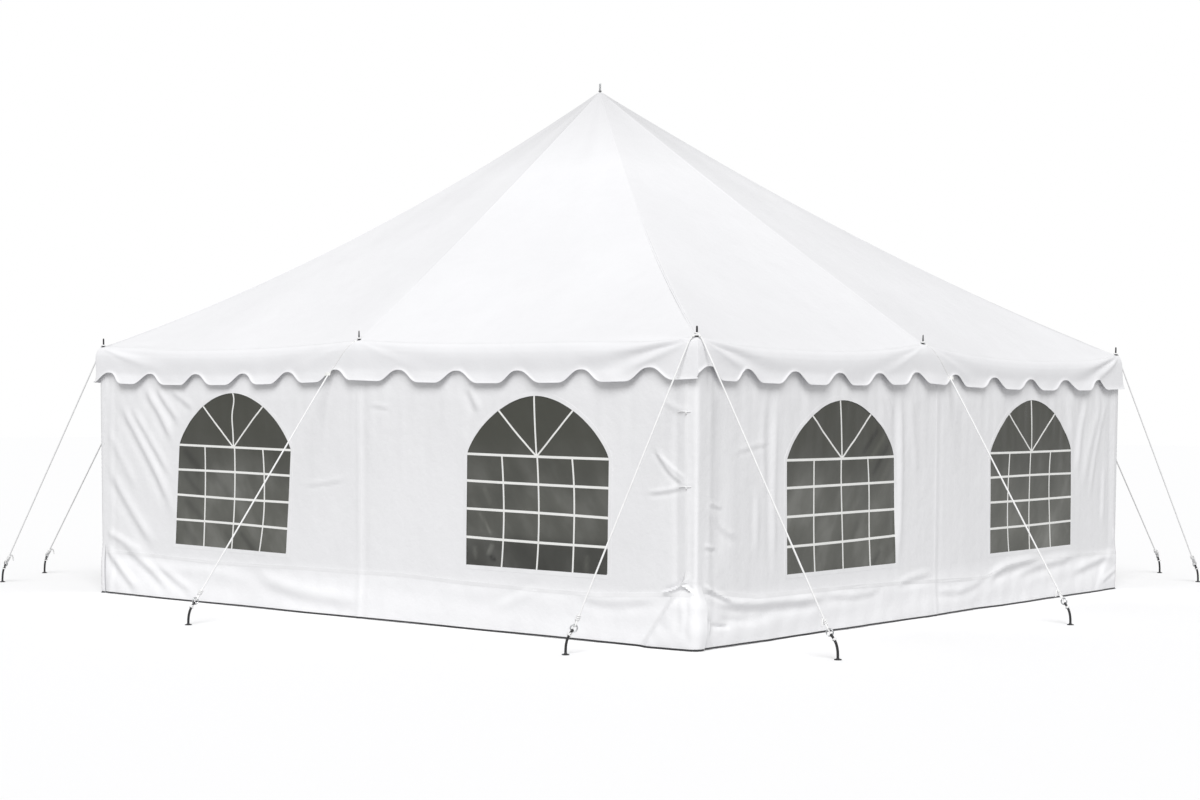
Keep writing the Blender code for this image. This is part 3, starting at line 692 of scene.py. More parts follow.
def makeRoof():
    split, shoulder, skirtRows = roof["split"], roof["shoulder"], roof["skirtRows"]
    shares = roof["firstRow"] + (1 - roof["firstRow"]) * (1 - (1 - np.linspace(0, 1, roof["rows"])) ** 1.7)
    centre = np.array(tent["peak"][:2])
    points, maps, faces = [], [], []
    wide, narrow = [], []  # each column's numbers in points

    def columns(side, count):
        middle = side["middle"]
        return np.concatenate((np.linspace(-1, middle, count + 1)[:-1], np.linspace(middle, 1, count + 1)[:-1]))

    def addColumns(side, index, places, grid, lengths):
        for place, column, downs in zip(places, grid, lengths):
            index.append(range(len(points), len(points) + len(column)))
            points.extend(column)
            maps.extend([(place * roof["mapHalf"] + side["index"] * 7, down) for down in downs])

    def addFaces(here, there):
        faces.extend((here[k], here[k + 1], there[k + 1], there[k]) for k in range(len(here) - 1))

    for side in sides:
        place = columns(side, roof["columns"])
        grid = roofPoints(side, place[:, None], shares[None, :])
        for k in np.flatnonzero(shares < 0.02):  # the first rows' square is drawn to a circle round the pin
            flat = grid[:, k, :2] - centre
            size = np.linalg.norm(flat, axis=1, keepdims=True)
            grid[:, k, :2] = centre + flat / size * shares[k] * roof["mapHalf"]
        addColumns(side, wide, place, grid, [shares * roof["mapDown"]] * len(place))
        place = columns(side, roof["columns"] * split)
        hem, sag = localHem(side, place), eaveDip(side, place)
        drops, outs = [], []
        for out, down, outward, upward in shoulder:
            lift = furrows(side, place * pinLine, down + sag)
            outs.append(out * (1 - roof["pinHold"] * nearPin(side, place, down)) + lift * outward)
            drops.append(down - lift * upward)
        for k in range(skirtRows + 1):
            drops.append(roof["skirtTop"] + (hem - roof["skirtTop"]) * k / skirtRows)
            outs.append(skirtOut(side, place, drops[-1]))
        grid = np.stack([skirtPoints(side, place, out, drop) for out, drop in zip(outs, drops)], 1)
        addColumns(side, narrow, place, grid, roof["mapDown"] + np.stack(drops, 1))
    for j, here in enumerate(wide):
        there = wide[(j + 1) % len(wide)]
        addFaces(here, there)
        below = [narrow[(j * split + m) % len(narrow)][0] for m in range(split + 1)]
        faces.append((here[-1], *below, there[-1]))
    for j, here in enumerate(narrow):
        addFaces(here, narrow[(j + 1) % len(narrow)])
    return thickened(meshObject("tentTop", points, faces, finish["roof"], maps), roof["thickness"])


tentTop = makeRoof()
finished(tentTop, "canopy_vinyl", "canopy", *[side["name"] + "_valance" for side in sides])
print("the roof and valance are hung:", len(tentTop.data.polygons), "faces")

# Folds of the walls: height and width in millimetres, then the line's points along the wall and up.
# A fold is a ridge with a hollow beside it, the others are one alone.
frontFolds = {
    "fold": (
        (9, 34, -2.83, 1.61, -2.63, 1.39, -2.24, 0.91, -2.12, 0.68), (7, 28, -2.67, 1.57, -2.47, 1.35, -2.15, 0.99),
        (8, 30, -2.49, 1.72, -2.28, 1.49, -2.11, 1.25), (7, 26, -2.35, 1.72, -2.16, 1.53, -2.03, 1.41),
        (5, 22, -2.16, 1.68, -1.94, 1.57, -1.85, 1.53), (8, 36, -2.96, 1.06, -2.76, 0.82, -2.49, 0.54, -2.33, 0.41),
        (9, 32, -3.02, 0.42, -2.85, 0.26, -2.65, 0.13, -2.52, 0.05), (8, 30, -2.79, 0.43, -2.43, 0.26, -2.14, 0.08),
        (6, 26, -2.33, 0.29, -2.02, 0.14, -1.86, 0.09), (7, 40, -1.18, 0.31, -0.98, 0.22, -0.48, 0.14, 0.06, 0.14),
        (5, 26, 1.75, 0.31, 1.57, 0.25, 1.34, 0.15), (6, 26, 2.05, 0.30, 2.38, 0.27, 2.79, 0.33),
        (4, 14, -0.59, 0.96, -0.35, 0.98, -0.13, 1.02), (4, 14, 0.12, 1.56, 0.33, 1.54),
        (6, 24, 1.09, 1.70, 1.21, 1.51), (4, 17, 2.72, 1.31, 2.81, 1.18, 2.91, 1.09, 3.01, 1.055),
        (5, 16, 2.66, 0.995, 2.87, 1.02, 3.02, 1.065), (13, 10, 3.01, 0.480, 2.965, 0.425, 2.90, 0.385, 2.78, 0.350),
        (6, 8, 2.99, 0.500, 2.955, 0.435, 2.92, 0.410), (11, 9, 2.94, 0.395, 2.975, 0.408, 3.02, 0.385, 3.06, 0.350),
        (12, 7, 3.02, 0.437, 3.06, 0.443, 3.12, 0.452), (10, 7, 3.01, 0.417, 3.05, 0.418, 3.11, 0.424)),
    "ridge": (
        (5, 34, -2.98, 1.36, -2.80, 1.15, -2.58, 0.86), (8, 24, -3.02, 0.52, -2.72, 0.43, -2.46, 0.34),
        (4, 40, -2.40, 0.24, -1.70, 0.26, -1.15, 0.20), (5, 18, 2.79, 1.60, 2.93, 1.53, 3.03, 1.53),
        (4, 14, 2.75, 1.26, 2.89, 1.14, 3.01, 1.08), (5, 22, 2.96, 0.36, 2.99, 0.24, 2.96, 0.10)),
}
rightFolds = {
    "fold": (
        (6, 26, -2.20, 1.67, -2.22, 1.10, -2.19, 0.43), (4, 22, -2.40, 1.00, -2.40, 0.58),
        (8, 30, -0.60, 1.69, -0.57, 1.10, -0.60, 0.39), (5, 18, -0.81, 1.65, -0.70, 1.50),
        (6, 34, 2.46, 1.70, 2.32, 1.32, 2.28, 1.00), (3, 28, 2.09, 1.68, 2.18, 1.34), (4, 24, 2.80, 1.10, 2.78, 0.55),
        (12, 26, -2.95, 0.335, -2.57, 0.265, -1.77, 0.243, -1.49, 0.25),
        (6, 20, -1.60, 0.27, -1.20, 0.23, -0.80, 0.25),
        (6, 20, -0.62, 0.27, -0.45, 0.31, -0.12, 0.33), (6, 24, -0.10, 0.20, 0.35, 0.16, 0.72, 0.24),
        (12, 26, 0.73, 0.22, 1.01, 0.32, 1.65, 0.35), (10, 28, 1.20, 0.24, 1.62, 0.30, 2.30, 0.33),
        (8, 26, 2.20, 0.20, 2.60, 0.26, 3.0, 0.32), (4, 14, -2.93, 0.94, -2.77, 0.90),
        (5, 14, -3.00, 0.67, -2.84, 0.64),
        (5, 20, -2.93, 0.91, -2.80, 0.78, -2.62, 0.70), (4, 14, -2.66, 1.26, -2.43, 1.30, -2.26, 1.32),
        (6, 18, 2.76, 0.09, 3.04, 0.18), (9, 15, -3.02, 0.36, -2.975, 0.26, -2.92, 0.18, -2.94, 0.06),
        (10, 15, -2.99, 0.42, -2.86, 0.355, -2.68, 0.295)),
    "ridge": (
        (4, 22, -2.32, 1.66, -2.36, 1.30, -2.30, 0.95), (5, 34, -0.46, 1.67, -0.35, 1.02),
        (6, 44, 2.72, 1.64, 2.46, 1.15, 2.38, 0.85), (5, 28, 2.84, 1.66, 2.62, 1.22, 2.52, 0.80),
        (5, 16, 3.00, 0.56, 3.04, 0.29)),
    "hollow": (
        (7, 22, -2.85, 0.19, -2.55, 0.15, -2.20, 0.16), (7, 60, -2.82, 1.66, -2.80, 1.05, -2.82, 0.45),
        (8, 13, -2.91, 0.155, -2.80, 0.135, -2.68, 0.130)),
}


def mirrored(folds, shift, scale):
    changed = {}
    for kind, rows in folds.items():
        changed[kind] = []
        for height, width, *line in rows:
            line[::2] = [min(max(-x * 0.985 + shift, -3.02), 3.02) for x in line[::2]]
            changed[kind].append((height * scale, width, *line))
    return changed


wall = {"spacing": 0.021, "thickness": 0.0012, "foot": 0.002, "top": 1.998, "foldScale": 1.7, "swell": 0.0055,
        "poleHold": 0.10, "cornerRadius": 0.022, "flap": 0.034, "flapStand": 0.0011, "panelSlope": 0.072,
        "upperPleats": 0.0026, "tuck": 0.0080, "weldRidge": 0.0016, "liftLimits": (-0.014, 0.036),
        "folds": (frontFolds, rightFolds, mirrored(frontFolds, 0.03, 0.85), mirrored(rightFolds, -0.04, 0.9)),
        # from here on, one value for each wall
        "skirtOut": (0.022, 0.013, 0.020, 0.018), "cornerBulge": (0.047, 0.012, 0.018, 0.014),
        "pleats": (0.0004, 0.0012, 0.0007, 0.0010), "skirtWaves": (0.0045, 0.0075, 0.0050, 0.0060),
        "fine": (((2.50, 0.0, 3.15, 1.25, 0.0115),), ((-3.06, 0.0, -2.55, 1.05, 0.0125),), (), ()),
        # where the weld runs across, above which the skirt is joined on
        "weld": (((-3.15, 0.350), (-2.46, 0.340), (-1.62, 0.320), (-0.75, 0.330), (0.03, 0.335), (0.41, 0.340),
                  (1.05, 0.320), (1.75, 0.310), (2.27, 0.310), (2.85, 0.350), (3.15, 0.365)),
                 ((-3.15, 0.395), (-2.95, 0.372), (-2.40, 0.303), (-1.74, 0.297), (-1.10, 0.288), (-0.62, 0.278),
                  (-0.10, 0.262), (0.41, 0.245), (0.73, 0.240), (1.01, 0.300), (1.65, 0.345), (2.40, 0.330),
                  (3.15, 0.320)),
                 ((-3.15, 0.340), (-2.30, 0.330), (-1.20, 0.315), (0.10, 0.330), (1.30, 0.325), (2.20, 0.310),
                  (3.15, 0.345)),
                 ((-3.15, 0.345), (-2.20, 0.320), (-0.90, 0.330), (0.40, 0.300), (1.50, 0.320), (2.50, 0.335),
                  (3.15, 0.340)))}
flapEnd = tent["wallOuter"] + wall["flapStand"] + wall["cornerRadius"] * (math.pi / 2 - 1) + wall["flap"]


def weldHeight(side, along):
    return np.interp(along, *np.transpose(wall["weld"][side["index"]]))


def wallLift(side, along, height):  # how far a wall stands out from its plane
    index, pole, seam = side["index"], side["pole"], side["seam"]
    x, z = (values.astype(float) for values in np.broadcast_arrays(along, height))
    lift = np.zeros(x.shape)

    def band(middle, width, tall):
        return tall * np.exp(-((x - middle) / width) ** 2)

    for kind, rows in wall["folds"][index].items():
        for tall, broad, *line in rows:
            line = np.reshape(line, (-1, 2))
            width = broad * 0.001 * (1.25 if broad > 19 else 1.0)
            (left, low), (right, high) = line.min(0) - width * 5, line.max(0) + width * 5
            near = (x > left) & (x < right) & (z > low) & (z < high)
            if near.any():
                distance, hand, progress = nearLine(line, x[near], z[near])
                ends = smoothStep(progress / 0.25) * smoothStep((1 - progress) / 0.25) * 0.9 + 0.1
                signed = distance * hand
                form = np.exp(-(signed / width) ** 2) * (-1 if kind == "hollow" else 1)
                if kind == "fold":
                    form = form - 0.55 * np.exp(-((signed + 1.7 * width) / (1.1 * width)) ** 2)
                lift[near] += tall * 0.001 * wall["foldScale"] * form * ends
    swell = ownNoise(side, x * 3.4, z * 2.6, 71) + 0.6 * ownNoise(side, x * 8.0, z * 3.0, 91)
    lift += wall["swell"] * 0.5 * (swell + 0.6)
    hanging = smoothStep((z - 0.9) / 0.7)  # the small upright pleats below the eave
    lift += wall["upperPleats"] * ownNoise(side, x * 16.0, z * 3.5, 131) * hanging
    lift += wall["pleats"][index] * ownNoise(side, x * 52.0, z * 5.0, 141) * (0.35 + 0.65 * hanging)
    lift -= wall["tuck"] * smoothStep((z - 1.58) / 0.16)  # drawn in where it hangs behind the valance
    weld = weldHeight(side, x)
    under = np.clip((weld - z) / 0.32, 0, 1)  # the skirt below its weld slopes out to the ground
    lift += wall["skirtWaves"][index] * ownNoise(side, x * 7.0, z * 13.0, 151) * smoothStep(under * 6)
    inner = 0.25 + 0.75 * smoothStep((3.0 - np.abs(x)) / 0.35)
    lift += wall["skirtOut"][index] * under * inner * (1 + 0.25 * ownNoise(side, x * 2.2, 0.4, 161))
    lift += wall["weldRidge"] * np.exp(-((z - weld) / 0.010) ** 2)
    # the upright seam in the middle, and the stiff bands at the corners
    lift += band(seam, 0.020, 0.0045) - band(seam + 0.055, 0.030, 0.0035)
    lift += (band(2.985, 0.034, 0.0060) - band(2.905, 0.026, 0.0050)) * smoothStep((z - 0.35) / 0.09)
    lift += band(-2.925, 0.026, 0.0025) - band(-2.875, 0.030, 0.0025)
    # poles stop it from moving in at the corners and in the middle, and the eave holds its top
    limit = 3.035 + tent["lean"] * z
    hold = smoothStep(np.minimum(np.abs(x - pole), limit - np.abs(x)) / wall["poleHold"])
    lift = np.where(lift < 0, lift * hold, lift * smoothStep((limit + 0.012 - np.abs(x)) / 0.04))
    lift = np.where(x < -2.94, lift * smoothStep((x + 2.995) / 0.05), lift)  # flat under the next wall's flap
    lift = np.where(lift > 0, lift * (1 - 0.75 * smoothStep((z - 1.74) / 0.12)), lift)
    # below its gather the corner's cloth swings out like a small tent, round the corner too
    tented = wall["cornerBulge"][index] * smoothStep((0.425 - z) / 0.16) * smoothStep((z + 0.14) / 0.26)
    crease = 2.675 + 0.76 * np.clip(z, 0, 0.40)
    tented = tented * np.clip((x - crease + wall["panelSlope"]) / wall["panelSlope"], 0, 1) ** 1.15
    return np.clip(lift, *wall["liftLimits"]) + tented * (1 + 0.16 * ownNoise(side, x * 17.0, z * 11.0, 191))


def wallPoints(side, along, height, lift):  # its far end turns round the corner onto the next wall
    along, height, lift = np.broadcast_arrays(np.asarray(along, float), height, lift)
    radius = wall["cornerRadius"]
    turn = tent["wallOuter"] + wall["flapStand"] + tent["lean"] * height - radius
    over = np.maximum(along - turn, 0)
    angle = np.minimum(over / radius, math.pi / 2)
    beyond = np.maximum(over - radius * math.pi / 2, 0)
    stand = radius + wallLift(side, along, height) + lift
    x = np.minimum(along, turn) + stand * np.sin(angle)
    plane = tent["wallOuter"] - 0.0006 + tent["lean"] * height
    return sidePoints(side, x, plane - radius + stand * np.cos(angle) - beyond, height)


# Each window's own making, in millimetres off true: how far its three uprights stray to their right at the
# top, half way and at the foot, how high its four rails and its sill end at left and right, how much its
# arch rises, how its arch's middle bar leans and wiggles, and its fan's angles. Then its sheet's painted
# reflections and painted shade: where it is painted paler or darker going down (from, to, how much), and its
# streaks of painted reflection (two points, width, how much).
making = {
    "front_1": {"uprights": ((-12, 10, 16), (13, 36, 24), (8, 54, 23)), "sill": (-1, -17), "rise": 1,
                "rails": ((19, -3), (15, -4), (8, -13), (3, -20)), "archBar": (-14, -20), "fan": (-48.5, 46.7),
                "shade": ((1.25, 0.75, 0.135),),
                "streaks": ((-2.02, 1.22, -1.76, 1.02, 34, -0.12), (-2.02, 1.04, -1.74, 0.81, 30, -0.13),
                            (-2.01, 0.82, -1.72, 0.63, 34, -0.13), (-2.02, 0.63, -1.82, 0.43, 36, -0.12),
                            (-1.34, 0.59, -1.12, 0.40, 24, -0.14), (-1.68, 1.06, -1.40, 0.82, 30, -0.08),
                            (-1.52, 0.60, -1.36, 0.42, 22, -0.07))},
    "front_2": {"uprights": ((6, 32, 14), (6, 28, 16), (-2, 23, 15)), "sill": (0, -4), "rise": -10,
                "rails": ((2, -12), (8, -10), (6, -14), (1, -14)), "archBar": (-20, 0), "fan": (-48.0, 46.2),
                "shade": ((1.20, 0.95, 0.050), (0.69, 0.60, -0.150)),
                "streaks": ((1.187, 0.83, 1.325, 0.65, 11, 0.20), (1.23, 1.00, 1.31, 0.86, 17, 0.10),
                            (1.325, 0.61, 1.27, 0.52, 13, 0.26), (1.28, 0.52, 1.35, 0.49, 14, -0.14),
                            (1.15, 0.59, 1.155, 0.48, 17, 0.13), (2.16, 0.58, 2.15, 0.44, 19, 0.13),
                            (1.55, 0.90, 2.05, 0.86, 90, 0.06))},
    "right_1": {"uprights": ((-7, -19, -7), (-9, -10, 4), (-11, 5, 13)), "sill": (-4, -5), "rise": -4,
                "rails": ((-12, -6), (-5, 5), (-5, 0), (-12, 2)), "archBar": (-37, 0), "fan": (-52.3, 50.5),
                "shade": ((1.25, 0.85, 0.140), (0.62, 0.45, -0.03)),
                "streaks": ((-0.87, 1.42, -1.11, 1.21, 22, -0.17), (-0.72, 1.32, -0.98, 1.05, 24, -0.15),
                            (-0.78, 1.38, -1.02, 1.15, 20, 0.16), (-0.70, 1.19, -0.86, 1.00, 22, 0.08),
                            (-0.82, 0.54, -0.95, 0.42, 24, -0.14), (-1.14, 0.76, -1.22, 0.62, 24, -0.08))},
    "right_2": {"uprights": ((-22, -59, -34), (-15, -42, -39), (-15, -37, -17)), "sill": (-9, -5), "rise": 7,
                "rails": ((-1, 5), (2, 8), (2, 7), (-10, 1)), "archBar": (-13, 0), "fan": (-51.6, 51.6),
                "shade": ((1.20, 0.80, 0.170),),
                "streaks": ((2.05, 0.62, 2.16, 0.52, 20, 0.10), (1.98, 1.14, 2.10, 0.92, 40, 0.05))},
    "back_1": {"uprights": ((2, 8, -4), (6, 12, 3), (-3, 6, 9)), "sill": (3, -6), "rise": 2,
               "rails": ((5, -4), (3, -7), (6, -3), (1, -8)), "archBar": (8, 0), "fan": (-48.5, 47.6),
               "shade": ((1.18, 0.80, 0.06),), "streaks": ((-2.02, 1.10, -1.70, 0.80, 34, -0.10),)},
    "back_2": {"uprights": ((-5, -11, 2), (4, 7, -3), (2, 10, 4)), "sill": (-4, 3), "rise": -3,
               "rails": ((-6, 3), (-4, 6), (2, 5), (-5, 2)), "archBar": (0, 6), "fan": (-49.0, 48.2),
               "shade": ((1.18, 0.80, 0.07),), "streaks": ((1.30, 0.70, 1.55, 0.48, 28, -0.10),)},
    "left_1": {"uprights": ((4, 12, 5), (-3, 6, 8), (3, -8, -4)), "sill": (4, -3), "rise": 3,
               "rails": ((6, -2), (4, -5), (5, -6), (2, -3)), "archBar": (0, -6), "fan": (-47.8, 49.0),
               "shade": ((1.18, 0.80, 0.06),), "streaks": ((-1.60, 0.95, -1.36, 0.70, 30, -0.10),)},
    "left_2": {"uprights": ((-2, 5, 6), (-6, -9, 3), (5, 12, -2)), "sill": (-5, 2), "rise": -2,
               "rails": ((-3, 5), (-6, 3), (-2, 4), (-4, 6)), "archBar": (-10, 0), "fan": (-48.2, 47.4),
               "shade": ((1.18, 0.80, 0.07),), "streaks": ((1.75, 1.05, 1.98, 0.84, 30, -0.09),)},
}


def windowOutline(side, number, grow, steps=40):
    sillMiddle, springMiddle, width = side["windows"][number - 1]
    sill, spring, rise = side["heights"]
    own = making[side["name"] + "_" + str(number)]
    half = width / 2 + grow
    line = [(sillMiddle - half, sill + own["sill"][0] * 0.001 - grow),
            (sillMiddle + half, sill + own["sill"][1] * 0.001 - grow)]
    left, right = own["rails"][0]
    for step in range(steps + 1):
        across = math.cos(math.pi * step / steps)
        up = (1 - abs(across) ** 1.85) ** (1 / 1.33)
        base = spring + (left * (1 - across) + right * (1 + across)) * 0.0005
        line.append((springMiddle + half * across, base + (rise + own["rise"] * 0.001 + grow) * up))
    return line


def makeWall(side):
    start = -(tent["wallOuter"] - wall["cornerRadius"])
    lean, foot, top = tent["lean"], wall["foot"], wall["top"]
    outline = [(start - lean * foot, foot), (flapEnd + lean * foot, foot)]
    for share in np.linspace(1, 0, 121):
        x = (start - lean * top) * (1 - share) + (flapEnd + lean * top) * share
        outline.append((x, top - float(eaveDip(side, np.array(min(max(x / pinLine, -1), 1))))))
    holes = [windowOutline(side, number, 0.0) for number in (1, 2)]
    flat, faces = flatTriangles(outline, holes, wall["spacing"], wall["fine"][side["index"]])
    points = wallPoints(side, flat[:, 0], flat[:, 1], 0.0)
    piece = meshObject("wallSheet_" + side["name"], points, faces, finish["wall"], flat)
    thickened(piece, wall["thickness"])
    print("the", side["name"], "wall hangs:", len(piece.data.polygons), "faces")
    return finished(piece, "wall_vinyl", side["name"] + "_wall")


wallSheets = [makeWall(side) for side in sides]

window = {"filmThickness": 0.0008, "filmBehind": 0.0030, "filmGrow": 0.018, "filmSpacing": 0.022, "barWidth": 0.018,
          "uprightWidth": 0.0135, "barThickness": 0.0016, "frameWidth": 0.030, "frameThickness": 0.0009}


def filmPoints(side, along, height, lift):
    wave = np.clip(0.0012 * ownNoise(side, along * 11.0, height * 4.0, 171), -0.0012, 0.0012)
    return wallPoints(side, along, height, lift - window["filmBehind"] + wave)


def paintedLightOf(own, x, z):  # how much paler or darker the sheet is painted at each of its points: painted reflection and painted shade
    paintedLight = np.zeros(len(x))
    for high, low, much in own["shade"]:
        paintedLight += much * smoothStep((high - z) / (high - low))
    for x0, z0, x1, z1, broad, much in own["streaks"]:
        distance, _, progress = nearLine(((x0, z0), (x1, z1)), x, z)
        paintedLight += (much * np.exp(-(distance / (broad * 0.001)) ** 2)
                 * smoothStep(progress / 0.2) * smoothStep((1 - progress) / 0.2))
    return paintedLight


def makeWindow(side, number):
    name = side["name"] + "_" + str(number)
    own = making[name]
    flat, faces = flatTriangles(windowOutline(side, number, window["filmGrow"]), [], window["filmSpacing"])
    points = filmPoints(side, flat[:, 0], flat[:, 1], 0.0)
    film = meshObject("windowFilm_" + name, points, faces, finish["film"], flat)
    film.data.attributes.new("paintedLight", "FLOAT", "POINT").data.foreach_set("value", paintedLightOf(own, flat[:, 0], flat[:, 1]))
    finished(thickened(film, window["filmThickness"]), "window_vinyl", side["name"] + "_window_" + str(number))
    sillMiddle, springMiddle, width = side["windows"][number - 1]
    sill, spring, rise = side["heights"]
    bars = Parts()
    draw = np.random.default_rng(side["index"] * 10 + number)

    def centreAt(z):
        return sillMiddle + (springMiddle - sillMiddle) * min((z - sill) / (spring - sill), 1.0)

    def bar(line, kind="uprightWidth"):
        ribbon(bars, filmPoints, side, line, window[kind], window["barThickness"])

    for row, (left, right) in enumerate(own["rails"]):
        z = spring - (spring - sill) * row / 4
        bow = draw.uniform(-0.004, 0.004)
        bar([(centreAt(z) + width * s,
              z + bow * math.sin(math.pi * (s + 0.5)) + (left * (0.5 - s) + right * (0.5 + s)) * 0.001)
             for s in np.linspace(-0.505, 0.505, 15)], "barWidth")
    for column, (atTop, halfWay, atFoot) in zip((-1, 0, 1), own["uprights"]):
        wobble = draw.uniform(-0.004, 0.004)
        across = 0.5 + column * 0.25
        foot, head = (level + (own[key][0] * (1 - across) + own[key][1] * across) * 0.001
                      for level, key in ((sill, "sill"), (spring, "topRail")))
        foot -= 0.004
        line = []
        for z in np.linspace(foot, head, 13):
            share = (z - foot) / (head - foot)
            sway = (atFoot * 2 * (share - 0.5) * (share - 1) + halfWay * 4 * share * (1 - share)
                    + atTop * 2 * share * (share - 0.5))
            line.append((centreAt(z) + column * width / 4 + sway * 0.001
                         + wobble * math.sin(2 * math.pi * share), z))
        bar(line)
    base = spring + sum(own["rails"][0]) * 0.0005
    rise = rise + own["rise"] * 0.001
    for angle in (own["fan"][0], 0.0, own["fan"][1]):  # the fan of the arch
        sine, cosine = math.sin(math.radians(angle)), math.cos(math.radians(angle))
        length = 0.0
        while length < rise * 1.6:
            if cosine * length > rise * max(1 - abs(sine * length * 2 / width) ** 1.85, 0) ** (1 / 1.33):
                break
            length += 0.004
        sway = draw.uniform(-0.005, 0.005)
        tilt, wiggle = own["archBar"] if angle == 0 else (0, 0)
        line = []
        for share in np.linspace(0, 1, 15):
            aside = (tilt * share + wiggle * math.sin(2 * math.pi * share ** 1.9) * share) * 0.001
            aside += sway * math.sin(math.pi * share)
            line.append((springMiddle + sine * length * share + cosine * aside,
                         base + cosine * length * share - sine * aside))
        bar(line)
    barPiece = bars.make("windowBars_" + name, finish["strip"], "wall_vinyl")
    frameParts = Parts()
    ribbon(frameParts, wallPoints, side, windowOutline(side, number, window["frameWidth"] / 2 - 0.001),
           window["frameWidth"], window["frameThickness"], 0.02, True)
    return frameParts.make("windowWeld_" + name, finish["weld"], "wall_vinyl")


for own in making.values():
    own["topRail"] = own["rails"][0]
windowWelds = [[makeWindow(side, number) for number in (1, 2)] for side in sides]
print("the windows are in")

tape = {"weldWidth": 0.028, "weldThickness": 0.0009, "footShadowWidth": 0.0115, "footShadowThickness": 0.0022,
        "bindingWidth": 0.010, "bindingThickness": 0.0008, "seamWidth": 0.036}


def makeTapes(side):
    binding, welds, hem = Parts(), Parts(), Parts()
    place = np.linspace(-0.998, 0.998, 331)
    drop = localHem(side, place) - tape["bindingWidth"] / 2
    ribbon(binding, valancePoints, side, np.stack((place * pinLine, -drop), 1), tape["bindingWidth"],
           tape["bindingThickness"], 0.017)
    along, middle = np.linspace(-3.025, flapEnd - 0.052, 200), side["seam"]
    for line, width, thickness in (
            (np.stack((along, weldHeight(side, along)), 1), tape["weldWidth"], tape["weldThickness"]),
            ([(middle, 0.35), (middle + 0.006, 1.0), (middle, 1.88)], tape["seamWidth"], tape["weldThickness"]),
            ([(2.985, 0.43), (2.989, 0.9), (2.995, 1.92)], 0.020, 0.0006)):
        ribbon(welds, wallPoints, side, line, width, thickness, 0.022)
    # a black strip along the wall's foot: painted shade, standing in for the shadow gap under the hem
    along = np.linspace(-3.027, flapEnd - 0.004, 220)
    ribbon(hem, wallPoints, side, np.stack((along, 0.0085 + 0.0012 * np.sin(along * 4.1)), 1), tape["footShadowWidth"],
           tape["footShadowThickness"], 0.010)
    return (binding.make("valanceBinding_" + side["name"], finish["roofWeld"], "canopy_vinyl"),
            welds.make("wallWelds_" + side["name"], finish["weld"], "wall_vinyl"),
            hem.make("footShadow_" + side["name"], finish["hem"], "wall_vinyl"))


tapes = [makeTapes(side) for side in sides]


def roofStrip(parts, leftSide, placeA, rightSide, placeB):  # a strip down the roof, astride a line of both sides
    shares = np.linspace(0.034, 0.985, 70)
    rows = []
    for level, inset in ((roof["seamThickness"], 0.002), (-0.0008, 0.0)):
        edge = (roof["seamWidth"] / 2 - inset) / (shares * pinLine)
        row = [roofPoints(leftSide, placeA - edge, shares), roofPoints(leftSide, placeA, shares),
               roofPoints(rightSide, placeB + edge, shares)]
        for line in row:
            line[:, 2] += level
        rows += row if level > 0 else row[::-1]
    maps = [(share * roof["mapDown"], j * 0.01) for share in shares for j in range(6)]
    parts.add(np.stack(rows, 1).reshape(-1, 3), stripFaces(len(shares), 6), maps)


def makeRoofSeams():
    seams = Parts()
    for side in sides:
        roofStrip(seams, side, side["middle"], side, side["middle"])
        roofStrip(seams, side, 1.0, sides[(side["index"] + 1) % 4], -1.0)
    points = []  # the patch round the peak
    for side in sides:
        for place in np.linspace(-1, 1, 13)[:-1]:
            for share, level in ((0.007, 0.0012), (0.034, 0.0009), (0.036, -0.0004), (0.007, -0.0006)):
                points.append(roofPoints(side, np.array([place]), np.array([share]))[0] + (0, 0, level))
    seams.add(points, stripFaces(48, 4, True))
    return seams.make("roofSeams", finish["roof"], "canopy_vinyl")


roofSeams = makeRoofSeams()
print("welds and tapes are on")

steel = {"poleRadius": 0.020, "centreRadius": 0.030, "centrePin": 0.008, "footPlate": 0.045, "sharp": 38,
         "cornerPin": (0.0070, 0.0062), "middlePin": (0.0062, 0.0040)}  # each pin's radius low and high
poleNames = list(corners) + [side["name"] + "_middle" for side in sides]


def poleEnds(name):
    if name in corners:
        x, y = corners[name]
        return (Vector((x * tent["poleLine"], y * tent["poleLine"], 0)),
                Vector((x * pinLine, y * pinLine, tent["eave"] - tent["lowHeads"].get(name, 0.0))))
    side = sideNamed[name.split("_")[0]]
    return (Vector(sidePoints(side, side["pole"], tent["poleLine"], 0.0)),
            Vector(sidePoints(side, side["pole"], pinLine, tent["eave"])))


def turnedForm(name, rings, steps=32):
    # grown upwards from a circle in edit mode, each ring a height and a radius
    height, radius = rings[0]
    piece = primitive(bpy.ops.mesh.primitive_circle_add, vertices=steps, radius=radius, fill_type="NGON",
                      location=(0, 0, height))
    piece.name = name
    bpy.ops.object.mode_set(mode="EDIT")
    bpy.ops.mesh.select_all(action="SELECT")
    for nextHeight, nextRadius in rings[1:]:
        bpy.ops.mesh.extrude_region_move(TRANSFORM_OT_translate={"value": (0, 0, nextHeight - height)})
        if abs(nextRadius - radius) > 1e-7:
            scale = nextRadius / radius
            bpy.ops.transform.resize(value=(scale, scale, 1), center_override=(0, 0, nextHeight))
        height, radius = nextHeight, nextRadius
    closeUp()
    return piece


def closeUp():  # leaves edit mode with the skin facing outwards
    bpy.ops.mesh.select_all(action="SELECT")
    bpy.ops.mesh.normals_make_consistent(inside=False)
    bpy.ops.object.mode_set(mode="OBJECT")


def moved(piece, matrix):
    piece.data.transform(matrix)
    piece.data.update()
    return piece


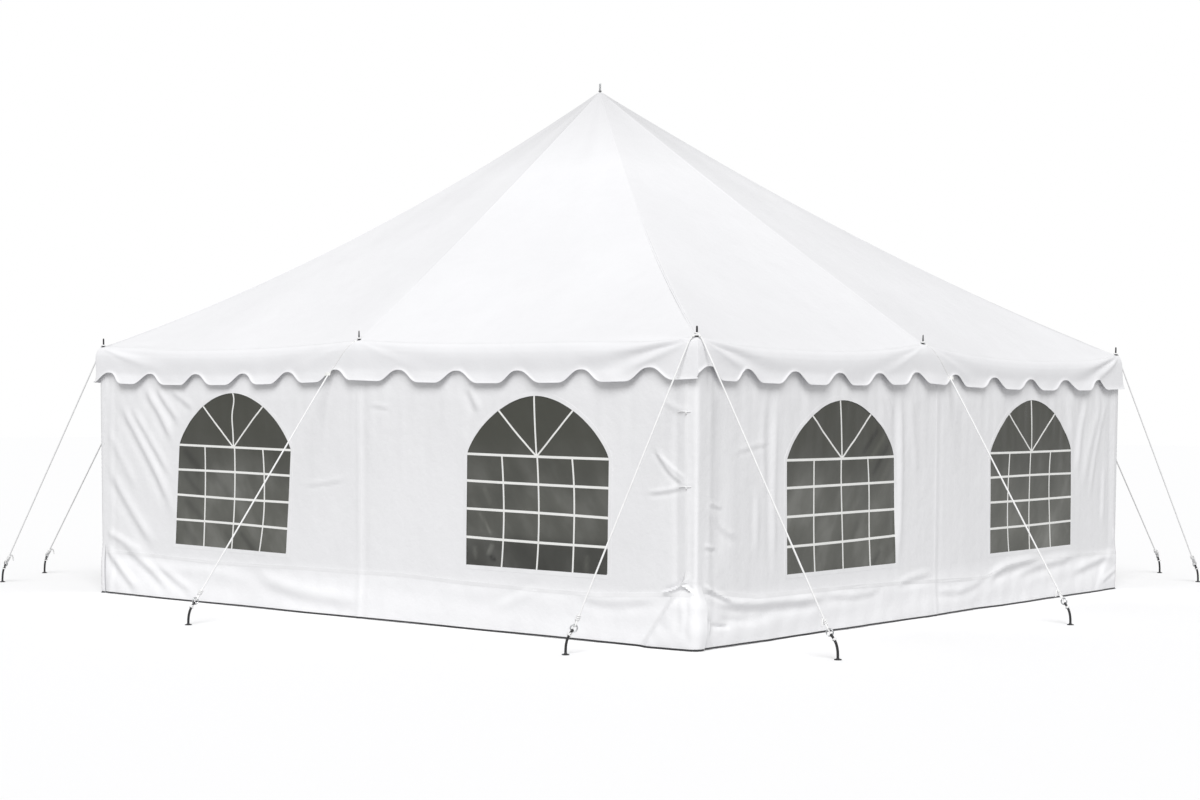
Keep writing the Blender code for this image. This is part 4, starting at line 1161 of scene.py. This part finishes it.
def makePole(name):
    foot, head = poleEnds(name)
    radius, plate = steel["poleRadius"], steel["footPlate"]
    pin, tip = steel["cornerPin"] if name in corners else steel["middlePin"]
    top, pinTop = head.z - 0.0125, head.z + tent["pinTip"] - tent["eave"]
    rings = [(0.0, plate), (0.004, plate), (0.0055, radius * 1.15), (0.020, radius * 1.15),
             (0.022, radius), (1.010, radius), (1.0115, radius * 1.12), (1.060, radius * 1.12), (1.0615, radius),
             (top - 0.024, radius), (top - 0.022, radius * 1.06), (top - 0.004, radius * 1.06), (top, radius * 0.9),
             (top + 0.001, pin), (head.z + 0.012, pin), (pinTop - 0.008, tip), (pinTop - 0.003, tip * 0.86),
             (pinTop, tip * 0.45)]
    slope = (head - foot) / head.z
    piece = moved(turnedForm("poleSteel_" + name, rings),
                  Matrix(((1, 0, slope.x, foot.x), (0, 1, slope.y, foot.y), (0, 0, 1, 0), (0, 0, 0, 1))))
    dressed(piece, steel["sharp"], finish["zinc"], finish["black"])
    for polygon in piece.data.polygons:  # each pin is sheathed in black above the cloth
        polygon.material_index = int(polygon.center.z > head.z - 0.012)
    finished(piece, "pole_steel", name + "_pole")


def makeCentrePole():
    radius, pin = steel["centreRadius"], steel["centrePin"]
    x, y, z = tent["peak"]
    top = z - 0.045
    rings = [(0.0, 0.070), (0.005, 0.070), (0.007, radius * 1.12), (0.030, radius * 1.12), (0.032, radius),
             (2.100, radius), (2.102, radius * 1.1), (2.190, radius * 1.1), (2.192, radius), (top - 0.032, radius),
             (top - 0.030, radius * 1.05), (top - 0.004, radius * 1.05), (top, radius * 0.85), (top + 0.001, pin),
             (4.2965, pin), (4.302, pin * 0.85), (4.305, pin * 0.45)]
    piece = moved(turnedForm("poleSteel_centre", rings, 40), Matrix.Translation((x, y, 0)))
    dressed(piece, steel["sharp"], finish["zinc"])
    finished(piece, "pole_steel", "centre_pole")


for name in poleNames:
    makePole(name)
makeCentrePole()


def torusAt(place, axis, major, minor, majorSteps=28, minorSteps=8, squash=1.0):
    piece = primitive(bpy.ops.mesh.primitive_torus_add, major_radius=major, minor_radius=minor,
                      major_segments=majorSteps, minor_segments=minorSteps)
    turn = Vector((0, 0, 1)).rotation_difference(Vector(axis).normalized()).to_matrix().to_4x4()
    return moved(piece, Matrix.Translation(place) @ turn @ Matrix.Diagonal((1, 1, squash, 1)))


def joined(name, pieces, material):
    bpy.ops.object.select_all(action="DESELECT")
    for piece in pieces:
        piece.select_set(True)
    bpy.context.view_layer.objects.active = pieces[0]
    if len(pieces) > 1:
        bpy.ops.object.join()
    piece = bpy.context.active_object
    piece.name = name
    dressed(piece, 40, material)
    piece.select_set(False)
    return piece


grommet = {"lean": 0.35, "above": 0.0035, "washer": (0.0100, 0.0028), "squash": 0.6,
           "ring": (0.0115, 0.0030), "ringAbove": 0.006, "ringTilt": 0.55, "peakWasher": (0.0125, 0.0035)}


def makeGrommets():  # a dark washer where each pin comes through the cloth, and a ring on the corner ones
    pieces = []
    for name in poleNames:
        foot, head = poleEnds(name)
        outward = Vector((head.x - foot.x, head.y - foot.y, 0)).normalized()
        lean = (Vector((0, 0, 1)) + outward * grommet["lean"]).normalized()
        base = head + Vector((0, 0, grommet["above"]))
        if name in corners:
            aside = Vector((-outward.y, outward.x, 0))
            pieces.append(torusAt(base + Vector((0, 0, grommet["ringAbove"])), lean + aside * grommet["ringTilt"],
                                  *grommet["ring"]))
        pieces.append(torusAt(base, lean, *grommet["washer"], squash=grommet["squash"]))
    x, y, z = tent["peak"]
    pieces.append(torusAt((x, y, z + 0.002), (0, 0, 1), *grommet["peakWasher"], 32, 10, grommet["squash"]))
    finished(joined("pinGrommets", pieces, finish["black"]), "pole_steel")


makeGrommets()
print("poles and pins stand")

stake = {"rod": 0.0085, "ringCentre": (0.0522, 0.1662), "ring": 0.0222, "ringRod": 0.0046, "collar": 0.024,
         "shank": ((0.0, 0.003), (0.0, 0.045), (0.005, 0.082), (0.017, 0.115), (0.038, 0.146), (0.043, 0.1530)),
         "weld": (0.0425, 0, 0.1525), "weldRadius": 0.0098, "neck": ((0.020, 0.121), (0.034, 0.140))}
ropes = (
    {"name": "front_left_1", "pin": "front_left", "stake": (-4.510, -3.020)},
    {"name": "front_left_2", "tab": ("left", 2.610), "stake": (-5.060, -2.200)},
    {"name": "front_middle", "keeper": ("front", -0.289), "stake": (-0.550, -4.180)},
    {"name": "front_right_1", "pin": "front_right", "stake": (2.550, -3.730)},
    {"name": "front_right_2", "pin": "front_right", "stake": (3.960, -2.810)},
    {"name": "right_middle", "keeper": ("right", 0.085), "stake": (4.110, 0.040)},
    {"name": "back_right_1", "pin": "back_right", "stake": (3.310, 4.230)},
    {"name": "back_right_2", "tab": ("back", -2.650), "stake": (2.620, 4.970)},
    {"name": "back_middle", "keeper": ("back", -0.170), "stake": (0.300, 4.180)},
    {"name": "back_left_1", "pin": "back_left", "stake": (-2.550, 3.780)},
    {"name": "back_left_2", "pin": "back_left", "stake": (-3.960, 2.750)},
    {"name": "left_middle", "keeper": ("left", -0.120), "stake": (-4.150, 0.200)},
)


keeper = {"out": 0.0565, "down": 0.253, "sewnDown": 0.246, "aside": 0.022, "sewnHalf": 0.012, "width": 0.026,
          "thickness": 0.0018, "bowHalf": 0.0125, "bowRise": 0.0150, "bowTall": 0.011, "bowThickness": 0.0014}
tab = {"out": 0.045, "down": 0.062, "foot": 0.150, "width": 0.034, "ring": (0.0125, 0.0030), "ringOut": 0.008}


def ropeHold(rope):  # the place that the stake faces
    if "pin" in rope:
        return poleEnds(rope["pin"])[1]
    name, along = rope.get("tab") or rope["keeper"]
    side = sideNamed[name]
    if "keeper" in rope:
        return Vector(sidePoints(side, along, pinLine + keeper["out"], tent["eave"] - keeper["down"]))
    sag = float(eaveDip(side, np.array(along / pinLine)))
    return Vector(sidePoints(side, along, pinLine + tab["out"], tent["eave"] - tab["down"] - sag))


def stakeFrame(rope):
    foot, hold = Vector((*rope["stake"], 0)), ropeHold(rope)
    angle = math.atan2(hold.y - foot.y, hold.x - foot.x)
    out, up = stake["ringCentre"]
    return foot, angle, foot + Vector((out * math.cos(angle), out * math.sin(angle), up))


def makeStake(rope):
    foot, angle, _ = stakeFrame(rope)
    # the shank: a disc drawn up step by step, turned a little at each step of its bend
    line = rounded(stake["shank"])
    shank = primitive(bpy.ops.mesh.primitive_circle_add, vertices=16, radius=stake["rod"], fill_type="NGON",
                      location=(0, 0, line[0][1]))
    bpy.ops.object.mode_set(mode="EDIT")
    bpy.ops.mesh.select_all(action="SELECT")
    heading = 0.0
    for step in range(1, len(line)):
        run = line[step] - line[step - 1]
        ahead = line[min(step + 1, len(line) - 1)] - line[step - 1]
        bpy.ops.mesh.extrude_region_move(TRANSFORM_OT_translate={"value": (run[0], 0, run[1])})
        tilt = math.atan2(ahead[0], ahead[1])
        if abs(tilt - heading) > 1e-4:
            bpy.ops.transform.rotate(value=-(tilt - heading), orient_axis="Y", orient_type="GLOBAL",
                                     center_override=(line[step][0], 0, line[step][1]))
        heading = tilt
    closeUp()
    wide, rod = stake["collar"], stake["rod"]
    collar = turnedForm("collar", [(0.0, wide), (0.0035, wide), (0.0050, wide * 0.97), (0.0068, wide * 0.72),
                                   (0.0080, wide * 0.46), (0.0125, rod * 1.08)], 28)
    out, up = stake["ringCentre"]
    ring = joined("stakeRing_" + rope["name"],
                  [torusAt((out, 0, up), (0, 1, 0), stake["ring"], stake["ringRod"], 40, 12)], finish["zinc"])
    weld = primitive(bpy.ops.mesh.primitive_uv_sphere_add, segments=16, ring_count=10, radius=stake["weldRadius"],
                     location=stake["weld"])
    piece = joined("groundStake_" + rope["name"], [shank, collar, weld], finish["black"])
    for part in (piece, ring):
        moved(part, Matrix.Translation(foot) @ Matrix.Rotation(angle, 4, "Z"))
    finished(ring, "pole_steel")
    finished(piece, "stake_black", "stake_" + rope["name"])


for rope in ropes:
    makeStake(rope)
print("stakes are driven")

cord = {"radius": 0.0061, "step": 0.0068, "pitch": 0.036, "strands": 3, "sides": 12,
        "route": ((0.0185, 0.0070), (0.0260, -0.0010), (0.0365, -0.0160), (0.0470, -0.0400)),
        "knotTurns": 3.0, "knotLength": 0.036, "tail": 0.045, "lashing": 1.5}


def orbit(centre, first, second, radius, start, end, steps, drift=None, rise=0.0):
    points = []
    for k in range(steps + 1):
        angle = start + (end - start) * k / steps
        point = centre + first * (radius * math.cos(angle)) + second * (radius * math.sin(angle))
        points.append(point if drift is None else point + drift * (rise * k / steps))
    return points


def laid(parts, points, share=1.0, cut=1):
    line = resampled(rounded(points, cut), cord["step"])
    tube(parts, line, cord["radius"] * share, cord["sides"], cord["strands"], cord["pitch"])


def laidThin(parts, points, share):
    tube(parts, resampled(rounded(points, 1), 0.0050), cord["radius"] * share, 10, cord["strands"], cord["pitch"])


def overValance(rope):  # over the eave and down the valance, to where a loop holds it
    name, along = rope["keeper"]
    side = sideNamed[name]
    points = []
    for up in (-0.004, -0.012, -0.024, -0.040, -0.060, -0.085, -0.115, -0.150, -0.190, -0.225, -0.253):
        share = min(max((0.0065 - up) / 0.2595, 0), 1) ** 0.85
        across = side["pole"] + (along - side["pole"]) * share
        place = np.array(across / pinLine)
        drop = np.array(max(-up - float(eaveDip(side, place)), 0.001))
        out = float(clothOut(side, place, drop)) - cord["radius"] * 0.4 + 0.0012
        points.append(Vector(sidePoints(side, across, pinLine + out, tent["eave"] + up)))
    return points


def level(direction):
    return Vector((direction.x, direction.y, 0)).normalized()


def makeRope(rope):
    foot, angle, ring = stakeFrame(rope)
    parts, radius, above = Parts(), cord["radius"], Vector((0, 0, 1))
    if "tab" in rope:  # a bowline's loop through the tab's ring
        outward = outwards(sideNamed[rope["tab"][0]])
        start = ropeHold(rope) + outward * 0.010
        way = (ring - start).normalized()
        aside = way.cross(outward).normalized()
        bight = orbit(start - way * 0.004, way, aside, 0.013, math.pi * 0.16, math.pi * 1.84, 18)
        laid(parts, [start + way * 0.030 + aside * 0.004, *bight, start + way * 0.030 - aside * 0.004], 0.92)
        route = [start + way * 0.016]
    else:
        if "pin" in rope:
            pin = ropeHold(rope)
            heading = level(ring - pin)
            reach = max(abs(heading.x), abs(heading.y))
            rise = 0.0125 if rope["name"].endswith("1") else 0.0235
            route = [pin + heading * (out / reach) + above * up for out, up in cord["route"]]
        else:
            pin = poleEnds(rope["name"])[1]
            route = overValance(rope)
            heading = level(route[0] - pin)
            rise = 0.0140
        aside = Vector((-heading.y, heading.x, 0))
        loop = orbit(pin + above * rise, heading, aside, tent["pinRadius"] + radius + 0.0006, math.pi * 0.30,
                     math.pi * 1.70, 20)
        meet = route[0] + (route[0] - route[1]).normalized() * 0.004
        laid(parts, [route[1] + aside * 0.005, meet + aside * 0.006, *loop, meet - aside * 0.006,
                     route[1] - aside * 0.005], 0.9)
    way = (route[-1] - ring).normalized()  # from the ring up the rope
    rim = ring + way * stake["ring"]
    aside = Vector((-math.sin(angle), math.cos(angle), 0))
    # the standing part ends in an eye through the ring
    meet = rim + way * 0.040
    laid(parts, route + [meet], 1.0, 2)
    eye = orbit(rim, way, aside, stake["ringRod"] + radius + 0.0004, math.pi * 0.24, math.pi * 1.76, 18)
    laid(parts, [meet + aside * 0.002, *eye, meet - aside * 0.004 + way * 0.006], 0.95)
    # turns of the knot, then its tail
    turns = cord["knotTurns"]
    coil = orbit(meet - way * 0.010, aside, way.cross(aside).normalized(), radius * 1.85, 0, turns * 2 * math.pi,
                 int(turns * 16), way, cord["knotLength"])
    end = coil[-1]
    laidThin(parts, coil + [end + aside * 0.012 + way * 0.004, end + aside * 0.024 - above * 0.014,
                            end + aside * 0.028 - above * cord["tail"]], 0.9)
    # the rope's other end is lashed round the stake's neck
    inwards = Vector((math.cos(angle), math.sin(angle), 0))
    (lowOut, lowUp), (highOut, highUp) = stake["neck"]
    axis = (inwards * (highOut - lowOut) + above * (highUp - lowUp)).normalized()
    start = foot + inwards * lowOut + above * lowUp
    lashing = orbit(start, aside, axis.cross(aside), stake["rod"] + radius * 0.7, 0, cord["lashing"] * 2 * math.pi,
                    int(cord["lashing"] * 16), axis, 0.012)
    laidThin(parts, lashing + [lashing[-1] + axis * 0.012 + aside * 0.010, rim + way * 0.010 + aside * 0.016,
                               rim + way * 0.030 + aside * 0.015, rim + way * 0.040 + aside * 0.002], 0.72)
    parts.make("guyRope_" + rope["name"], finish["rope"], "rope_white", "guy_rope_" + rope["name"], smoothAngle=None)


for rope in ropes:
    makeRope(rope)


def makeKeepers():  # sewn webbing loops that lead the middle ropes, and the tabs with their rings
    webbing, metal = Parts(), []
    for rope in ropes:
        if "keeper" in rope:
            name, along = rope["keeper"]
            side = sideNamed[name]
            sag = float(eaveDip(side, np.array(along / pinLine)))
            drop = keeper["sewnDown"] - sag
            for middle in (along - keeper["aside"], along + keeper["aside"]):
                ribbon(webbing, valancePoints, side,
                       [(middle - keeper["sewnHalf"], -drop), (middle + keeper["sewnHalf"], -drop)],
                       keeper["width"], keeper["thickness"], 0.012)
            arch = []
            for k in range(11):
                angle = math.pi * k / 10
                across = along + keeper["bowHalf"] * math.cos(angle)
                out = float(clothOut(side, np.array(across / pinLine), np.array(drop)))
                arch.append((across, out + keeper["bowRise"] * math.sin(angle) + 0.0012))
            tall, thick = keeper["bowTall"], keeper["bowThickness"]
            rows = [[sidePoints(side, x + (x - along) * extra / keeper["bowHalf"], pinLine + out + extra,
                                tent["eave"] - sag - drop + rise) for x, out in arch]
                    for rise, extra in ((tall, 0.0), (-tall, 0.0), (-tall, thick), (tall, thick))]
            webbing.add(np.array(rows).transpose(1, 0, 2).reshape(-1, 3), stripFaces(len(arch), 4))
        elif "tab" in rope:
            name, along = rope["tab"]
            side = sideNamed[name]
            outward = outwards(side)
            ribbon(webbing, valancePoints, side, [(along, -tab["down"]), (along, -tab["foot"])], tab["width"],
                   keeper["thickness"], 0.02)
            metal.append(torusAt(ropeHold(rope) + outward * tab["ringOut"], outward + Vector((0, 0, 0.4)),
                                 *tab["ring"]))
    webbing.make("ropeKeepers", finish["strip"], "canopy_vinyl")
    finished(joined("tabRings", metal, finish["zinc"]), "pole_steel")


makeKeepers()
print("ropes are tied")


tie = {"spots": ((2.998, 1.520, 0.075), (2.994, 1.042, 0.060)),  # along the wall, height and length
       "radius": 0.0034, "knot": 0.0058, "knotRadius": 0.0030, "knotTurns": 1.6}


def makeTies(side):
    ties, out = Parts(), outwards(side)

    def spot(along, height, lift):
        return wallPoints(side, np.array([along]), np.array([height]), np.array([lift]))[0]

    for along, height, length in tie["spots"]:
        line = [spot(along + 0.030, height, 0.001), spot(along + 0.006, height - 0.002, 0.0040),
                spot(along - length * 0.5, height + 0.003, 0.0040), spot(along - length, height - 0.005, 0.0015)]
        tube(ties, resampled(rounded(line), 0.004), tie["radius"], 8)
        ring = orbit(Vector(spot(along, height - 0.002, 0.0055)), Vector((0, 0, 1)), out, tie["knot"], 0,
                     tie["knotTurns"] * 2 * math.pi, 26, Vector((0, 0, -1)), 0.006)
        tube(ties, resampled(ring, 0.0028), tie["knotRadius"], 8)
    ties.make("cornerTies_" + side["name"], finish["lace"], "rope_white", smoothAngle=None)


for side in (sides[0], sides[2]):
    makeTies(side)
print("corners are tied")
